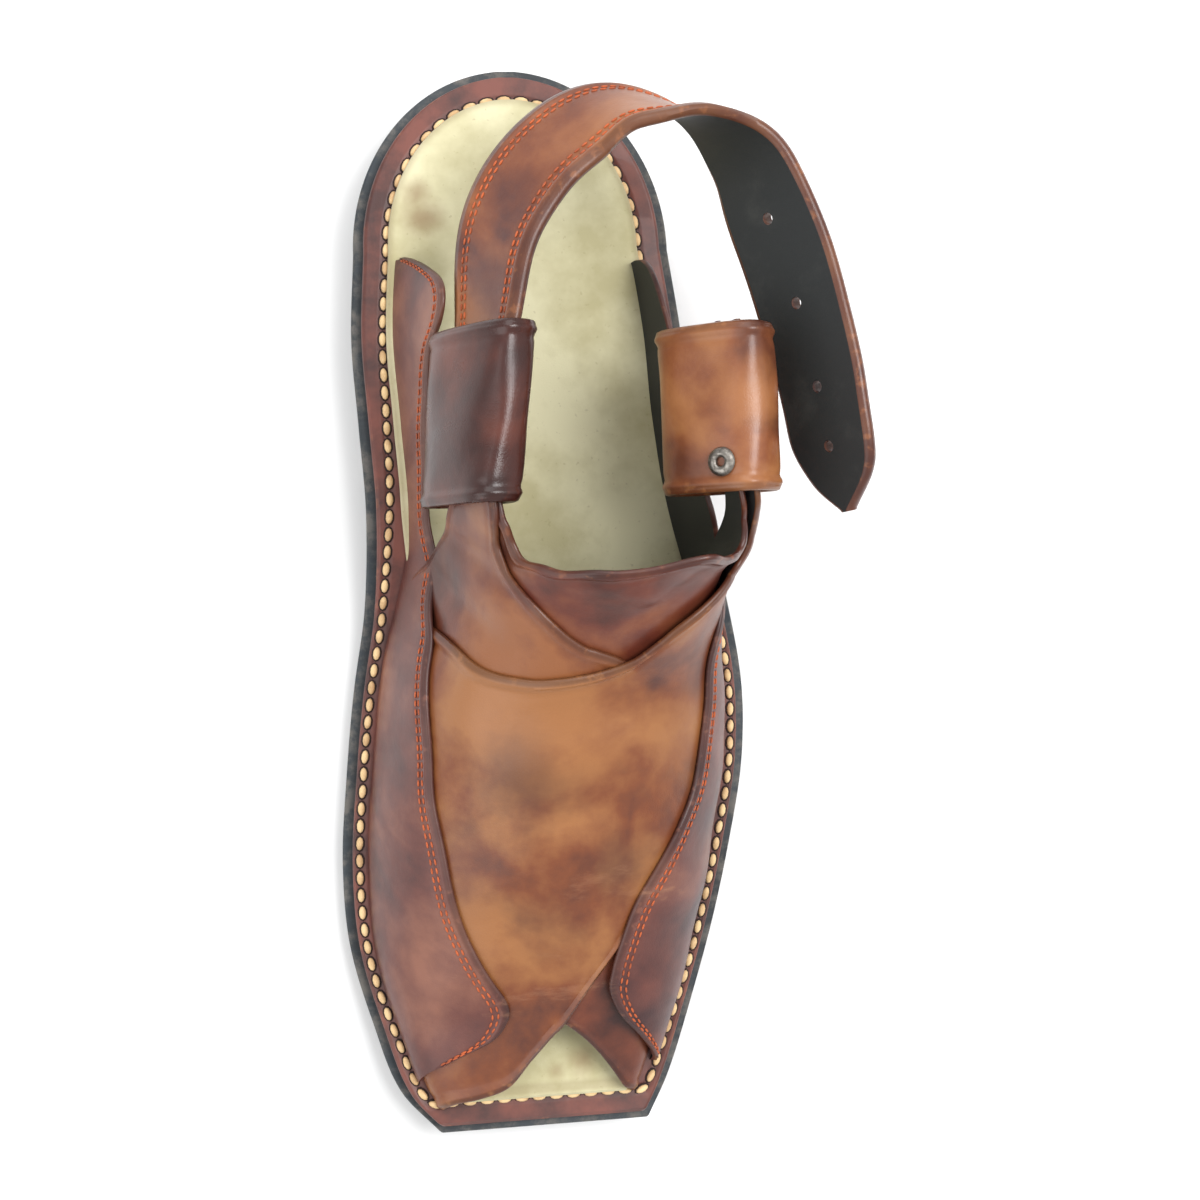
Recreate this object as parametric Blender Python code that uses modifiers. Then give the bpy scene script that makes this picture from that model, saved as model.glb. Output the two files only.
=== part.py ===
# Cross-strap chappal for the left foot, in metres.
# +Y runs to the toe, +X to the inner side of the foot, +Z up.
# The origin is the middle of the heel's flat on the floor.

from collections import namedtuple
import math

import bpy
import bmesh
from mathutils import Matrix, Vector

# Driving sizes
SOLE_LENGTH = 0.290
BALL_WIDTH = 0.112
HEEL_WIDTH = 0.086
HEEL_REST = 0.040
HEEL_ROUND = 0.17
COLLAR_HEIGHT = 0.092
COLLAR_LEAN = 0.028

# Thicknesses of the layers and the gap left between two pieces
HEEL_LIFT_THICKNESS = 0.0090
OUTSOLE_THICKNESS = 0.0070
MIDSOLE_THICKNESS = 0.0040
INSOLE_THICKNESS = 0.0022
STRAP_WALL = 0.0020
FIT = 0.0003

# Line of the sole from the side, along shares of its length
HEEL_FRONT = 0.36
ARCH_START = 0.385
ARCH_END = 0.58
SPRING_START = 0.78
TOE_SPRING = 0.0070
SPRING_POWER = 1.8

# Edges of the layers: shares of the thickness, and insets from the outline
OUTSOLE_LOW_EDGE = 0.25
OUTSOLE_HIGH_EDGE = 0.85
MIDSOLE_HIGH_EDGE = 0.70
OUTSOLE_BEVEL = 0.0008
HEEL_LIFT_INSET = 0.0012
HEEL_LIFT_TAPER = 0.0010
HEEL_SLANT = 0.15
HEEL_SLANT_START = 0.20
MIDSOLE_INSET = 0.0028
INSOLE_INSET = 0.0094
INSOLE_FORE_INSET = 0.0118
INSOLE_STEP_START = 0.40
INSOLE_STEP_END = 0.50
LAST_INSET = 0.0130

# Rise of each layer of the upper from the last
THROAT_RISE = 0.0000
UNDER_RISE = 0.0015
TOP_RISE = 0.0030
PANEL_RISE = 0.0045
PANEL_REAR_RISE = 0.0040
PANEL_LEAN_RISE = 0.0005
PANEL_REAR_END = 0.44
PANEL_FORE_START = 0.54
SKIRT = 0.0030
SKIRT_GIRTH = 1.05
FLARE_POWER = 6
SOLE_ROOM_DEPTH = 0.0120
SOLE_ROOM_MARGIN = 0.0200

# Sleeves round the tails
SLEEVE_WALL = 0.0022
SLEEVE_SQUARENESS = 3.0
DRILL_DEPTH = 0.0132

# Eyelet on the lateral sleeve
EYELET_FLANGE = 0.0036
EYELET_BARREL = 0.0019
EYELET_BORE = 0.0011
EYELET_FLANGE_THICKNESS = 0.0009
EYELET_SHOULDER = 0.92
EYELET_CROWN = 0.70
EYELET_LIP = 1.25
EYELET_EDGE = 0.80

# Back strap
BACK_STRAP_WIDTH = 0.0285
BACK_STRAP_THICKNESS = 0.0034
BACK_STRAP_HOLE = 0.0022
PUNCH_DEPTH = 0.0136

# Steps for directions, distances at which points are merged, and the angle
# in degrees from which an edge stays sharp
NORMAL_STEP = 0.002
PATH_STEP = 0.01
TURN_STEP = 4
WELD = 0.00003
SEAM_WELD = 0.00001
SHARP_ANGLE = 35

# Counts of faces
SOLE_STATIONS = 40
HEEL_STATIONS = 10
STRAP_ACROSS = 8
STRAP_ALONG = 34
PANEL_ACROSS = 4
PANEL_ALONG = 42
THROAT_ACROSS = 5
THROAT_ALONG = 32
SLEEVE_AROUND = 32
SLEEVE_ALONG = 4
BACK_STRAP_ALONG = 52
BACK_STRAP_ACROSS = 3
ROUND_SIDES = 20

# Outline of the outsole: shares of the length, then of the ball width
Outline = namedtuple("Outline", "along medial lateral")
OUTLINE = [
    Outline(0.17, 0.384, 0.384),
    Outline(0.25, 0.397, 0.411),
    Outline(0.33, 0.388, 0.424),
    Outline(0.41, 0.379, 0.451),
    Outline(0.50, 0.393, 0.509),
    Outline(0.58, 0.429, 0.545),
    Outline(0.66, 0.455, 0.540),
    Outline(0.74, 0.473, 0.500),
    Outline(0.82, 0.464, 0.446),
    Outline(0.90, 0.411, 0.375),
    Outline(0.96, 0.353, 0.313),
    Outline(1.00, 0.259, 0.255),
]

# Sections of the last: height as a share of the collar height, lean to the
# lateral side as a share of the collar's lean, power of the section's width
# and the share of the half width that flares out at its foot
Form = namedtuple("Form", "along height lean fullness flare")
FORM = [
    Form(0.15, 1.000, 0.96, 0.50, 0.06),
    Form(0.30, 1.000, 1.00, 0.50, 0.06),
    Form(0.42, 0.957, 1.00, 0.50, 0.06),
    Form(0.45, 0.826, 0.96, 0.60, 0.06),
    Form(0.476, 0.707, 0.71, 0.74, 0.07),
    Form(0.565, 0.500, 0.29, 0.90, 0.05),
    Form(0.65, 0.413, 0.18, 0.92, 0.04),
    Form(0.75, 0.315, 0.14, 0.92, 0.03),
    Form(0.85, 0.196, 0.11, 0.90, 0.00),
    Form(0.90, 0.130, 0.11, 0.85, 0.00),
    Form(0.955, 0.065, 0.11, 0.80, 0.00),
    Form(1.00, 0.045, 0.11, 0.80, 0.00),
]

# Girth runs from -1 at the lateral foot of the last over 0 to +1 at its
# medial foot. Each row of a strap joins its throat edge to its toe edge.
Strip = namedtuple("Strip", "throat_along throat_girth toe_along toe_girth")
TOP_STRAP = [
    Strip(0.500, 1.05, 0.965, 1.05),
    Strip(0.525, 0.70, 0.960, 0.72),
    Strip(0.552, 0.40, 0.955, 0.46),
    Strip(0.559, 0.20, 0.944, 0.24),
    Strip(0.558, 0.08, 0.915, 0.10),
    Strip(0.554, -0.03, 0.882, -0.02),
    Strip(0.544, -0.13, 0.845, -0.14),
    Strip(0.528, -0.19, 0.806, -0.26),
    Strip(0.512, -0.25, 0.760, -0.40),
    Strip(0.490, -0.39, 0.700, -0.62),
    Strip(0.474, -0.50, 0.620, -0.92),
    Strip(0.462, -0.57, 0.540, -1.05),
    Strip(0.450, -0.59, 0.485, -0.94),
    Strip(0.435, -0.58, 0.446, -0.72),
    Strip(0.416, -0.57, 0.418, -0.65),
    Strip(0.360, -0.575, 0.360, -0.64),
    Strip(0.268, -0.575, 0.268, -0.64),
]
UNDER_STRAP = [
    Strip(0.500, -1.05, 0.965, -1.05),
    Strip(0.525, -0.70, 0.960, -0.72),
    Strip(0.548, -0.40, 0.953, -0.52),
    Strip(0.553, -0.20, 0.930, -0.30),
    Strip(0.543, -0.08, 0.886, -0.03),
    Strip(0.535, 0.00, 0.850, 0.14),
    Strip(0.521, 0.12, 0.800, 0.30),
    Strip(0.500, 0.28, 0.740, 0.52),
    Strip(0.481, 0.42, 0.660, 0.80),
    Strip(0.459, 0.55, 0.570, 1.05),
    Strip(0.445, 0.60, 0.490, 1.00),
    Strip(0.432, 0.61, 0.445, 0.86),
    Strip(0.415, 0.61, 0.415, 0.80),
    Strip(0.372, 0.635, 0.372, 0.77),
]
THROAT_BAND = [
    Strip(0.372, 0.635, 0.372, 0.75),
    Strip(0.416, 0.61, 0.416, 0.76),
    Strip(0.431, 0.59, 0.455, 0.78),
    Strip(0.447, 0.55, 0.500, 0.78),
    Strip(0.463, 0.43, 0.550, 0.66),
    Strip(0.471, 0.29, 0.590, 0.45),
    Strip(0.471, 0.12, 0.610, 0.20),
    Strip(0.468, -0.05, 0.615, -0.05),
    Strip(0.465, -0.22, 0.605, -0.30),
    Strip(0.462, -0.38, 0.575, -0.55),
    Strip(0.456, -0.51, 0.520, -0.72),
    Strip(0.440, -0.58, 0.462, -0.76),
    Strip(0.418, -0.59, 0.420, -0.68),
    Strip(0.360, -0.615, 0.360, -0.66),
    Strip(0.268, -0.62, 0.268, -0.66),
]

# Each row of a side panel joins its foot on the sole to its sewn upper edge
Edge = namedtuple("Edge", "foot_along along girth")
LATERAL_EDGE = [
    Edge(0.186, 0.186, 0.960),
    Edge(0.192, 0.190, 0.930),
    Edge(0.205, 0.203, 0.900),
    Edge(0.235, 0.228, 0.875),
    Edge(0.280, 0.275, 0.850),
    Edge(0.340, 0.340, 0.815),
    Edge(0.400, 0.400, 0.790),
    Edge(0.450, 0.445, 0.755),
    Edge(0.490, 0.482, 0.680),
    Edge(0.540, 0.532, 0.540),
    Edge(0.600, 0.595, 0.545),
    Edge(0.660, 0.660, 0.525),
    Edge(0.710, 0.702, 0.446),
    Edge(0.760, 0.736, 0.379),
    Edge(0.800, 0.770, 0.300),
    Edge(0.840, 0.807, 0.251),
    Edge(0.870, 0.833, 0.230),
    Edge(0.890, 0.855, 0.236),
    Edge(0.910, 0.882, 0.333),
    Edge(0.928, 0.906, 0.518),
    Edge(0.942, 0.928, 0.760),
]
MEDIAL_EDGE = [
    Edge(0.180, 0.180, 0.960),
    Edge(0.186, 0.186, 0.920),
    Edge(0.199, 0.198, 0.860),
    Edge(0.216, 0.214, 0.800),
    Edge(0.234, 0.232, 0.780),
    Edge(0.252, 0.250, 0.795),
    Edge(0.272, 0.270, 0.845),
    Edge(0.300, 0.300, 0.880),
    Edge(0.360, 0.360, 0.910),
    Edge(0.420, 0.420, 0.920),
    Edge(0.480, 0.480, 0.850),
    Edge(0.540, 0.530, 0.720),
    Edge(0.600, 0.590, 0.600),
    Edge(0.660, 0.660, 0.540),
    Edge(0.720, 0.720, 0.460),
    Edge(0.785, 0.778, 0.387),
    Edge(0.830, 0.812, 0.320),
    Edge(0.865, 0.837, 0.261),
    Edge(0.888, 0.858, 0.210),
    Edge(0.905, 0.875, 0.215),
    Edge(0.925, 0.897, 0.314),
    Edge(0.942, 0.919, 0.598),
]

# Sleeves: from rear to front, the middle's place across, along and up and the
# half axes of their section in metres, with the rise of the section's long
# axis towards the lateral side in degrees
Sleeve = namedtuple("Sleeve", "across along up lean half_width half_depth")
LATERAL_SLEEVE = [
    Sleeve(0.0455, 0.079, 0.0675, 43, 0.0150, 0.0090),
    Sleeve(0.0457, 0.118, 0.0675, 43, 0.0150, 0.0090),
]
MEDIAL_SLEEVE = [
    Sleeve(-0.0115, 0.077, 0.0625, 58, 0.0175, 0.0077),
    Sleeve(-0.0165, 0.1185, 0.0610, 62, 0.0175, 0.0077),
]

# Middle line of the back strap: place across, along and up in metres, lean of
# its upper edge from upright towards the foot in degrees, and the share of
# the full width
Path = namedtuple("Path", "across along up lean width")
BACK_STRAP = [
    Path(-0.0125, 0.107, 0.0605, 27, 0.62),
    Path(-0.0120, 0.095, 0.0612, 27, 0.84),
    Path(-0.0110, 0.078, 0.0622, 29, 0.95),
    Path(-0.0085, 0.060, 0.0628, 36, 1.00),
    Path(-0.0035, 0.046, 0.0635, 45, 1.00),
    Path(0.0035, 0.036, 0.0643, 48, 1.00),
    Path(0.0135, 0.0275, 0.0650, 48, 1.00),
    Path(0.0240, 0.0235, 0.0655, 36, 1.00),
    Path(0.0350, 0.0235, 0.0660, 22, 1.00),
    Path(0.0450, 0.0270, 0.0660, 2, 1.00),
    Path(0.0535, 0.0350, 0.0665, -20, 1.00),
    Path(0.0590, 0.0455, 0.0670, -32, 1.00),
    Path(0.0640, 0.0600, 0.0675, -36, 1.00),
    Path(0.0690, 0.0800, 0.0680, -34, 1.00),
    Path(0.0720, 0.0960, 0.0680, -31, 1.00),
    Path(0.0745, 0.1080, 0.0680, -29, 0.97),
    Path(0.0760, 0.1165, 0.0680, -28, 0.72),
    Path(0.0775, 0.1245, 0.0680, -28, 0.12),
]
HOLE_SHARES = (0.672, 0.742, 0.812, 0.882)

# Place of the eyelet on the lateral sleeve: share of its length and angle
# round its section in degrees
EYELET_ALONG = 0.84
EYELET_ANGLE = 76


def clear_scene():
    for item in list(bpy.data.objects):
        bpy.data.objects.remove(item, do_unlink=True)


def new_collection(name, hidden=False):
    collection = bpy.data.collections.new(name)
    bpy.context.scene.collection.children.link(collection)
    collection.hide_render = hidden
    return collection


def make_material(name, colour, roughness, metallic=0.0):
    material = bpy.data.materials.new(name)
    material.use_nodes = True
    shader = material.node_tree.nodes["Principled BSDF"]
    shader.inputs["Base Color"].default_value = (*colour, 1.0)
    shader.inputs["Roughness"].default_value = roughness
    shader.inputs["Metallic"].default_value = metallic
    material.diffuse_color = (*colour, 1.0)
    return material


# A smooth value between the rows of a table
def between(positions, values, at):
    last = len(positions) - 1
    if at <= positions[0]:
        return values[0]
    if at >= positions[last]:
        return values[last]
    row = max(i for i in range(last) if positions[i] <= at)
    span = positions[row + 1] - positions[row]
    share = (at - positions[row]) / span

    def slope(i):
        low = max(i - 1, 0)
        high = min(i + 1, last)
        return (values[high] - values[low]) / (positions[high] - positions[low])

    square = share * share
    cube = square * share
    start = (2 * cube - 3 * square + 1) * values[row]
    start_bend = (cube - 2 * square + share) * span * slope(row)
    end = (3 * square - 2 * cube) * values[row + 1]
    end_bend = (cube - square) * span * slope(row + 1)
    return start + start_bend + end + end_bend


def column(table, name):
    return [getattr(row, name) for row in table]


def look_up(table, name, at):
    return between(column(table, "along"), column(table, name), at)


def look_up_row(table, name, share):
    steps = [i / (len(table) - 1) for i in range(len(table))]
    return between(steps, column(table, name), share)


def ease(value, start, end):
    share = min(max((value - start) / (end - start), 0.0), 1.0)
    return share * share * (3 - 2 * share)


# Height of the outsole's underside over the floor
def camber(along):
    heel = HEEL_LIFT_THICKNESS + FIT
    if along < ARCH_START:
        return heel
    if along < ARCH_END:
        share = (along - ARCH_START) / (ARCH_END - ARCH_START)
        return heel * (1 + math.cos(math.pi * share)) / 2
    share = max(along - SPRING_START, 0.0) / (1 - SPRING_START)
    return TOE_SPRING * share ** SPRING_POWER


def midsole_level(along):
    return camber(along) + OUTSOLE_THICKNESS + FIT


def upper_level(along):
    return midsole_level(along) + MIDSOLE_THICKNESS + FIT


# Half width of the outsole's outline on one side, less an inset
def half_width(along, side, inset=0.0):
    if along < HEEL_ROUND:
        radius = HEEL_ROUND - inset / SOLE_LENGTH
        share = min((HEEL_ROUND - along) / radius, 1.0)
        return (HEEL_WIDTH / 2 - inset) * math.sqrt(1 - share * share)
    return look_up(OUTLINE, side, along) * BALL_WIDTH - inset


# A point of the last, with the lateral side at minus X
def last_point(along, girth):
    side = "medial" if girth > 0 else "lateral"
    sign = 1 if girth > 0 else -1
    half = half_width(along, side, LAST_INSET)
    level = upper_level(along)
    y = along * SOLE_LENGTH - HEEL_REST
    if abs(girth) >= 1:
        drop = SKIRT * (abs(girth) - 1) / (SKIRT_GIRTH - 1)
        return Vector((sign * half, y, level - drop))
    angle = math.pi / 2 * (1 - abs(girth))
    rise = math.sin(angle)
    flare = look_up(FORM, "flare", along)
    fullness = look_up(FORM, "fullness", along)
    spread = (1 - flare) * math.cos(angle) ** fullness + flare * (1 - rise) ** FLARE_POWER
    lean = look_up(FORM, "lean", along) * COLLAR_LEAN * rise
    height = look_up(FORM, "height", along) * COLLAR_HEIGHT
    return Vector((sign * half * spread - lean, y, level + height * rise))


# The last's outward direction at a point
def last_normal(along, girth):
    girth_low = max(girth - NORMAL_STEP, -1.0)
    girth_high = min(girth + NORMAL_STEP, 1.0)
    ahead = last_point(along + NORMAL_STEP, girth) - last_point(along - NORMAL_STEP, girth)
    if abs(girth) >= 1:
        side = 1 if girth > 0 else -1
        return (ahead.cross(Vector((0, 0, 1))) * side).normalized()
    around = last_point(along, girth_high) - last_point(along, girth_low)
    return around.cross(ahead).normalized()


def raised_point(along, girth, rise):
    return last_point(along, girth) + last_normal(along, girth) * rise


def link(name, mesh, material, collection):
    item = bpy.data.objects.new(name, mesh)
    mesh.materials.append(material)
    collection.objects.link(item)
    return item


# An open sheet of quads from rows of points
def sheet_mesh(name, rows, closed=False):
    shape = bmesh.new()
    grid = [[shape.verts.new(point) for point in row] for row in rows]
    count = len(grid[0])
    wrap = count if closed else count - 1
    for low, high in zip(grid[:-1], grid[1:]):
        for i in range(wrap):
            j = (i + 1) % count
            shape.faces.new((low[i], low[j], high[j], high[i]))
    mesh = bpy.data.meshes.new(name)
    shape.to_mesh(mesh)
    shape.free()
    return mesh


# A closed loft through rings of points
def loft_mesh(name, rings):
    shape = bmesh.new()
    grid = [[shape.verts.new(point) for point in ring] for ring in rings]
    count = len(grid[0])
    for low, high in zip(grid[:-1], grid[1:]):
        for i in range(count):
            j = (i + 1) % count
            shape.faces.new((low[i], low[j], high[j], high[i]))
    shape.faces.new(list(reversed(grid[0])))
    shape.faces.new(grid[-1])
    bmesh.ops.recalc_face_normals(shape, faces=shape.faces)
    mesh = bpy.data.meshes.new(name)
    shape.to_mesh(mesh)
    shape.free()
    return mesh


def add_solidify(item, thickness, offset):
    wall = item.modifiers.new("wall", "SOLIDIFY")
    wall.thickness = thickness
    wall.offset = offset
    wall.use_even_offset = True
    return wall


def add_boolean(item, cutter, operation):
    boolean = item.modifiers.new(operation.lower(), "BOOLEAN")
    boolean.operation = operation
    boolean.solver = "EXACT"
    boolean.object = cutter
    return boolean


# Modifiers turned into the object's own mesh
def bake(item):
    graph = bpy.context.evaluated_depsgraph_get()
    mesh = bpy.data.meshes.new_from_object(item.evaluated_get(graph))
    item.modifiers.clear()
    item.data = mesh
    return item


def smooth(item):
    item.data.shade_smooth()
    item.data.set_sharp_from_angle(angle=math.radians(SHARP_ANGLE))


# Stations of a plate, closer together round the heel
def stations(start, end):
    found = []
    for i in range(HEEL_STATIONS):
        angle = math.pi / 2 * (i + 0.5) / HEEL_STATIONS
        found.append(start + (HEEL_ROUND - start) * (1 - math.cos(angle)))
    count = max(2, round((end - HEEL_ROUND) * SOLE_STATIONS))
    found += [HEEL_ROUND + (end - HEEL_ROUND) * i / count for i in range(count + 1)]
    return found


# A section across a plate, from levels of height and extra inset
def plate_ring(along, inset, levels, slant=0.0):
    y = along * SOLE_LENGTH - HEEL_REST
    medial = half_width(along, "medial", inset)
    lateral = half_width(along, "lateral", inset)
    right = [(medial - min(extra, medial / 2), z) for z, extra in levels]
    left = [(-lateral + min(extra, lateral / 2), z) for z, extra in reversed(levels)]
    return [Vector((x, y + slant * x, z)) for x, z in right + left]


def build_outsole(material, collection):
    rings = []
    for along in stations(0.0, 1.0):
        low = camber(along)
        levels = [
            (low, OUTSOLE_BEVEL),
            (low + OUTSOLE_THICKNESS * OUTSOLE_LOW_EDGE, 0.0),
            (low + OUTSOLE_THICKNESS * OUTSOLE_HIGH_EDGE, 0.0),
            (low + OUTSOLE_THICKNESS, OUTSOLE_BEVEL / 2),
        ]
        rings.append(plate_ring(along, 0.0, levels))
    item = link("outsole", loft_mesh("outsole", rings), material, collection)
    smooth(item)


def build_heel_lift(material, collection):
    rings = []
    start = HEEL_LIFT_INSET / SOLE_LENGTH
    for along in stations(start, HEEL_FRONT):
        levels = [(0.0, HEEL_LIFT_TAPER), (HEEL_LIFT_THICKNESS, 0.0)]
        slant = HEEL_SLANT * ease(along, HEEL_SLANT_START, HEEL_FRONT)
        rings.append(plate_ring(along, HEEL_LIFT_INSET, levels, slant))
    item = link("heel_lift", loft_mesh("heel_lift", rings), material, collection)
    smooth(item)


def build_midsole(material, collection):
    rings = []
    start = MIDSOLE_INSET / SOLE_LENGTH
    for along in stations(start, 1.0 - start):
        low = midsole_level(along)
        levels = [
            (low, 0.0),
            (low + MIDSOLE_THICKNESS * MIDSOLE_HIGH_EDGE, 0.0),
            (low + MIDSOLE_THICKNESS, OUTSOLE_BEVEL),
        ]
        rings.append(plate_ring(along, MIDSOLE_INSET, levels))
    item = link("midsole", loft_mesh("midsole", rings), material, collection)
    smooth(item)


def insole_inset(along):
    step = ease(along, INSOLE_STEP_START, INSOLE_STEP_END)
    return INSOLE_INSET + (INSOLE_FORE_INSET - INSOLE_INSET) * step


def build_insole(material, collection):
    rings = []
    start = INSOLE_INSET / SOLE_LENGTH
    for along in stations(start, 1.0 - start):
        low = upper_level(along)
        levels = [(low, 0.0), (low + INSOLE_THICKNESS, 0.0)]
        rings.append(plate_ring(along, insole_inset(along), levels))
    item = link("insole", loft_mesh("insole", rings), material, collection)
    smooth(item)


# A strap of the upper as a walled sheet over the last
def strap_sheet(name, table, rise, along_count, across_count, material, collection):
    rows = []
    for i in range(along_count + 1):
        share = i / along_count
        throat_along = look_up_row(table, "throat_along", share)
        throat_girth = look_up_row(table, "throat_girth", share)
        toe_along = look_up_row(table, "toe_along", share)
        toe_girth = look_up_row(table, "toe_girth", share)
        row = []
        for j in range(across_count + 1):
            part = j / across_count
            along = throat_along + (toe_along - throat_along) * part
            girth = throat_girth + (toe_girth - throat_girth) * part
            row.append(raised_point(along, girth, rise))
        rows.append(row)
    item = link(name, sheet_mesh(name, rows), material, collection)
    face_outward(item)
    add_solidify(item, STRAP_WALL, 1.0)
    return bake(item)


# Turns a sheet's faces so that its normals point away from the last's axis
def face_outward(item):
    mesh = item.data
    total = 0.0
    for face in mesh.polygons:
        axis = Vector((0.0, face.center.y, face.center.z / 2))
        total += face.normal.dot(face.center - axis) * face.area
    if total < 0:
        mesh.flip_normals()


# A side panel from the edge of the sole up to its sewn edge
def panel_sheet(name, table, side, material, collection):
    rows = []
    for i in range(PANEL_ALONG + 1):
        share = i / PANEL_ALONG
        foot_along = look_up_row(table, "foot_along", share)
        edge_along = look_up_row(table, "along", share)
        edge_girth = look_up_row(table, "girth", share)
        fore = ease(edge_along, PANEL_REAR_END, PANEL_FORE_START)
        foot_rise = PANEL_REAR_RISE + (PANEL_RISE - PANEL_REAR_RISE) * fore
        edge_rise = PANEL_LEAN_RISE + (PANEL_RISE - PANEL_LEAN_RISE) * fore
        row = []
        for j in range(PANEL_ACROSS + 1):
            part = j / PANEL_ACROSS
            along = foot_along + (edge_along - foot_along) * part
            girth = side * (SKIRT_GIRTH + (edge_girth - SKIRT_GIRTH) * part)
            rise = foot_rise + (edge_rise - foot_rise) * part
            row.append(raised_point(along, girth, rise))
        rows.append(row)
    item = link(name, sheet_mesh(name, rows), material, collection)
    face_outward(item)
    add_solidify(item, STRAP_WALL, 1.0)
    return bake(item)


# The room that the sole takes from the foot of the upper
def sole_room(material, collection):
    rings = []
    for along in stations(0.0, 1.0):
        y = along * SOLE_LENGTH - HEEL_REST
        top = upper_level(along)
        bottom = top - SOLE_ROOM_DEPTH
        wide = BALL_WIDTH
        corners = [(wide, bottom), (wide, top), (-wide, top), (-wide, bottom)]
        rings.append([Vector((x, y, z)) for x, z in corners])
    end = rings[-1]
    rings.append([point + Vector((0, SOLE_ROOM_MARGIN, 0)) for point in end])
    item = link("sole_room", loft_mesh("sole_room", rings), material, collection)
    item.display_type = "WIRE"
    return item


# The room that the insole takes between the feet of the straps
def insole_room(material, collection):
    rings = []
    start = (INSOLE_INSET - FIT) / SOLE_LENGTH
    for along in stations(start, 1.0 - start):
        low = upper_level(along)
        levels = [(low - SKIRT, 0.0), (low + INSOLE_THICKNESS + FIT, 0.0)]
        rings.append(plate_ring(along, insole_inset(along) - FIT, levels))
    item = link("insole_room", loft_mesh("insole_room", rings), material, collection)
    item.display_type = "WIRE"
    return item


def clean(item):
    shape = bmesh.new()
    shape.from_mesh(item.data)
    bmesh.ops.remove_doubles(shape, verts=shape.verts, dist=WELD)
    bmesh.ops.dissolve_degenerate(shape, edges=shape.edges, dist=WELD)
    shape.to_mesh(item.data)
    shape.free()


# Closes the pockets sealed in between two layers
def fill_pockets(item):
    shape = bmesh.new()
    shape.from_mesh(item.data)
    waiting = set(shape.verts)
    shells = []
    while waiting:
        front = [waiting.pop()]
        shell = set(front)
        while front:
            vert = front.pop()
            for edge in vert.link_edges:
                other = edge.other_vert(vert)
                if other not in shell:
                    shell.add(other)
                    front.append(other)
        waiting -= shell
        shells.append(shell)
    shells.sort(key=len)
    for shell in shells[:-1]:
        bmesh.ops.delete(shape, geom=list(shell), context="VERTS")
    shape.to_mesh(item.data)
    shape.free()


def build_upper(material, collection, cutters):
    layers = [
        strap_sheet("upper", TOP_STRAP, TOP_RISE, STRAP_ALONG, STRAP_ACROSS, material, collection),
        strap_sheet("under_strap", UNDER_STRAP, UNDER_RISE, STRAP_ALONG, STRAP_ACROSS,
                    material, cutters),
        strap_sheet("throat_band", THROAT_BAND, THROAT_RISE, THROAT_ALONG, THROAT_ACROSS,
                    material, cutters),
        panel_sheet("lateral_panel", LATERAL_EDGE, -1, material, cutters),
        panel_sheet("medial_panel", MEDIAL_EDGE, 1, material, cutters),
    ]
    upper = layers[0]
    for layer in layers[1:]:
        layer.display_type = "WIRE"
        add_boolean(upper, layer, "UNION")
        bake(upper)
    for room in (sole_room(material, cutters), insole_room(material, cutters)):
        add_boolean(upper, room, "DIFFERENCE")
        bake(upper)
    clean(upper)
    fill_pockets(upper)
    smooth(upper)


# A point of a sleeve's section, out from its middle by shares of its half axes
def sleeve_point(row, angle, depth=0.0):
    power = 2 / SLEEVE_SQUARENESS
    wide = math.copysign(abs(math.cos(angle)) ** power, math.cos(angle))
    deep = math.copysign(abs(math.sin(angle)) ** power, math.sin(angle))
    width = wide * (row.half_width - depth)
    height = deep * (row.half_depth - depth)
    lean = math.radians(row.lean)
    across = row.across + width * math.cos(lean) - height * math.sin(lean)
    up = row.up + width * math.sin(lean) + height * math.cos(lean)
    return Vector((-across, row.along - HEEL_REST, up))


def sleeve_row(table, share):
    values = [look_up_row(table, name, share) for name in Sleeve._fields]
    return Sleeve(*values)


def build_sleeve(name, table, material, collection):
    rows = []
    for i in range(SLEEVE_ALONG + 1):
        row = sleeve_row(table, i / SLEEVE_ALONG)
        turns = [2 * math.pi * k / SLEEVE_AROUND for k in range(SLEEVE_AROUND)]
        rows.append([sleeve_point(row, turn) for turn in turns])
    item = link(name, sheet_mesh(name, rows, closed=True), material, collection)
    middle = sum((Vector(v.co) for v in item.data.vertices), Vector()) / len(item.data.vertices)
    face = item.data.polygons[0]
    if face.normal.dot(face.center - middle) < 0:
        item.data.flip_normals()
    add_solidify(item, SLEEVE_WALL, -1.0)
    bake(item)
    smooth(item)
    return item


# The eyelet's place and outward direction on the lateral sleeve
def eyelet_frame():
    row = sleeve_row(LATERAL_SLEEVE, EYELET_ALONG)
    angle = math.radians(EYELET_ANGLE)
    step = math.radians(TURN_STEP)
    place = sleeve_point(row, angle)
    around = sleeve_point(row, angle + step) - sleeve_point(row, angle - step)
    outward = around.cross(Vector((0, 1, 0))).normalized()
    if outward.z < 0:
        outward.negate()
    turn = outward.to_track_quat("Z", "Y").to_matrix().to_4x4()
    return Matrix.Translation(place) @ turn


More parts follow.
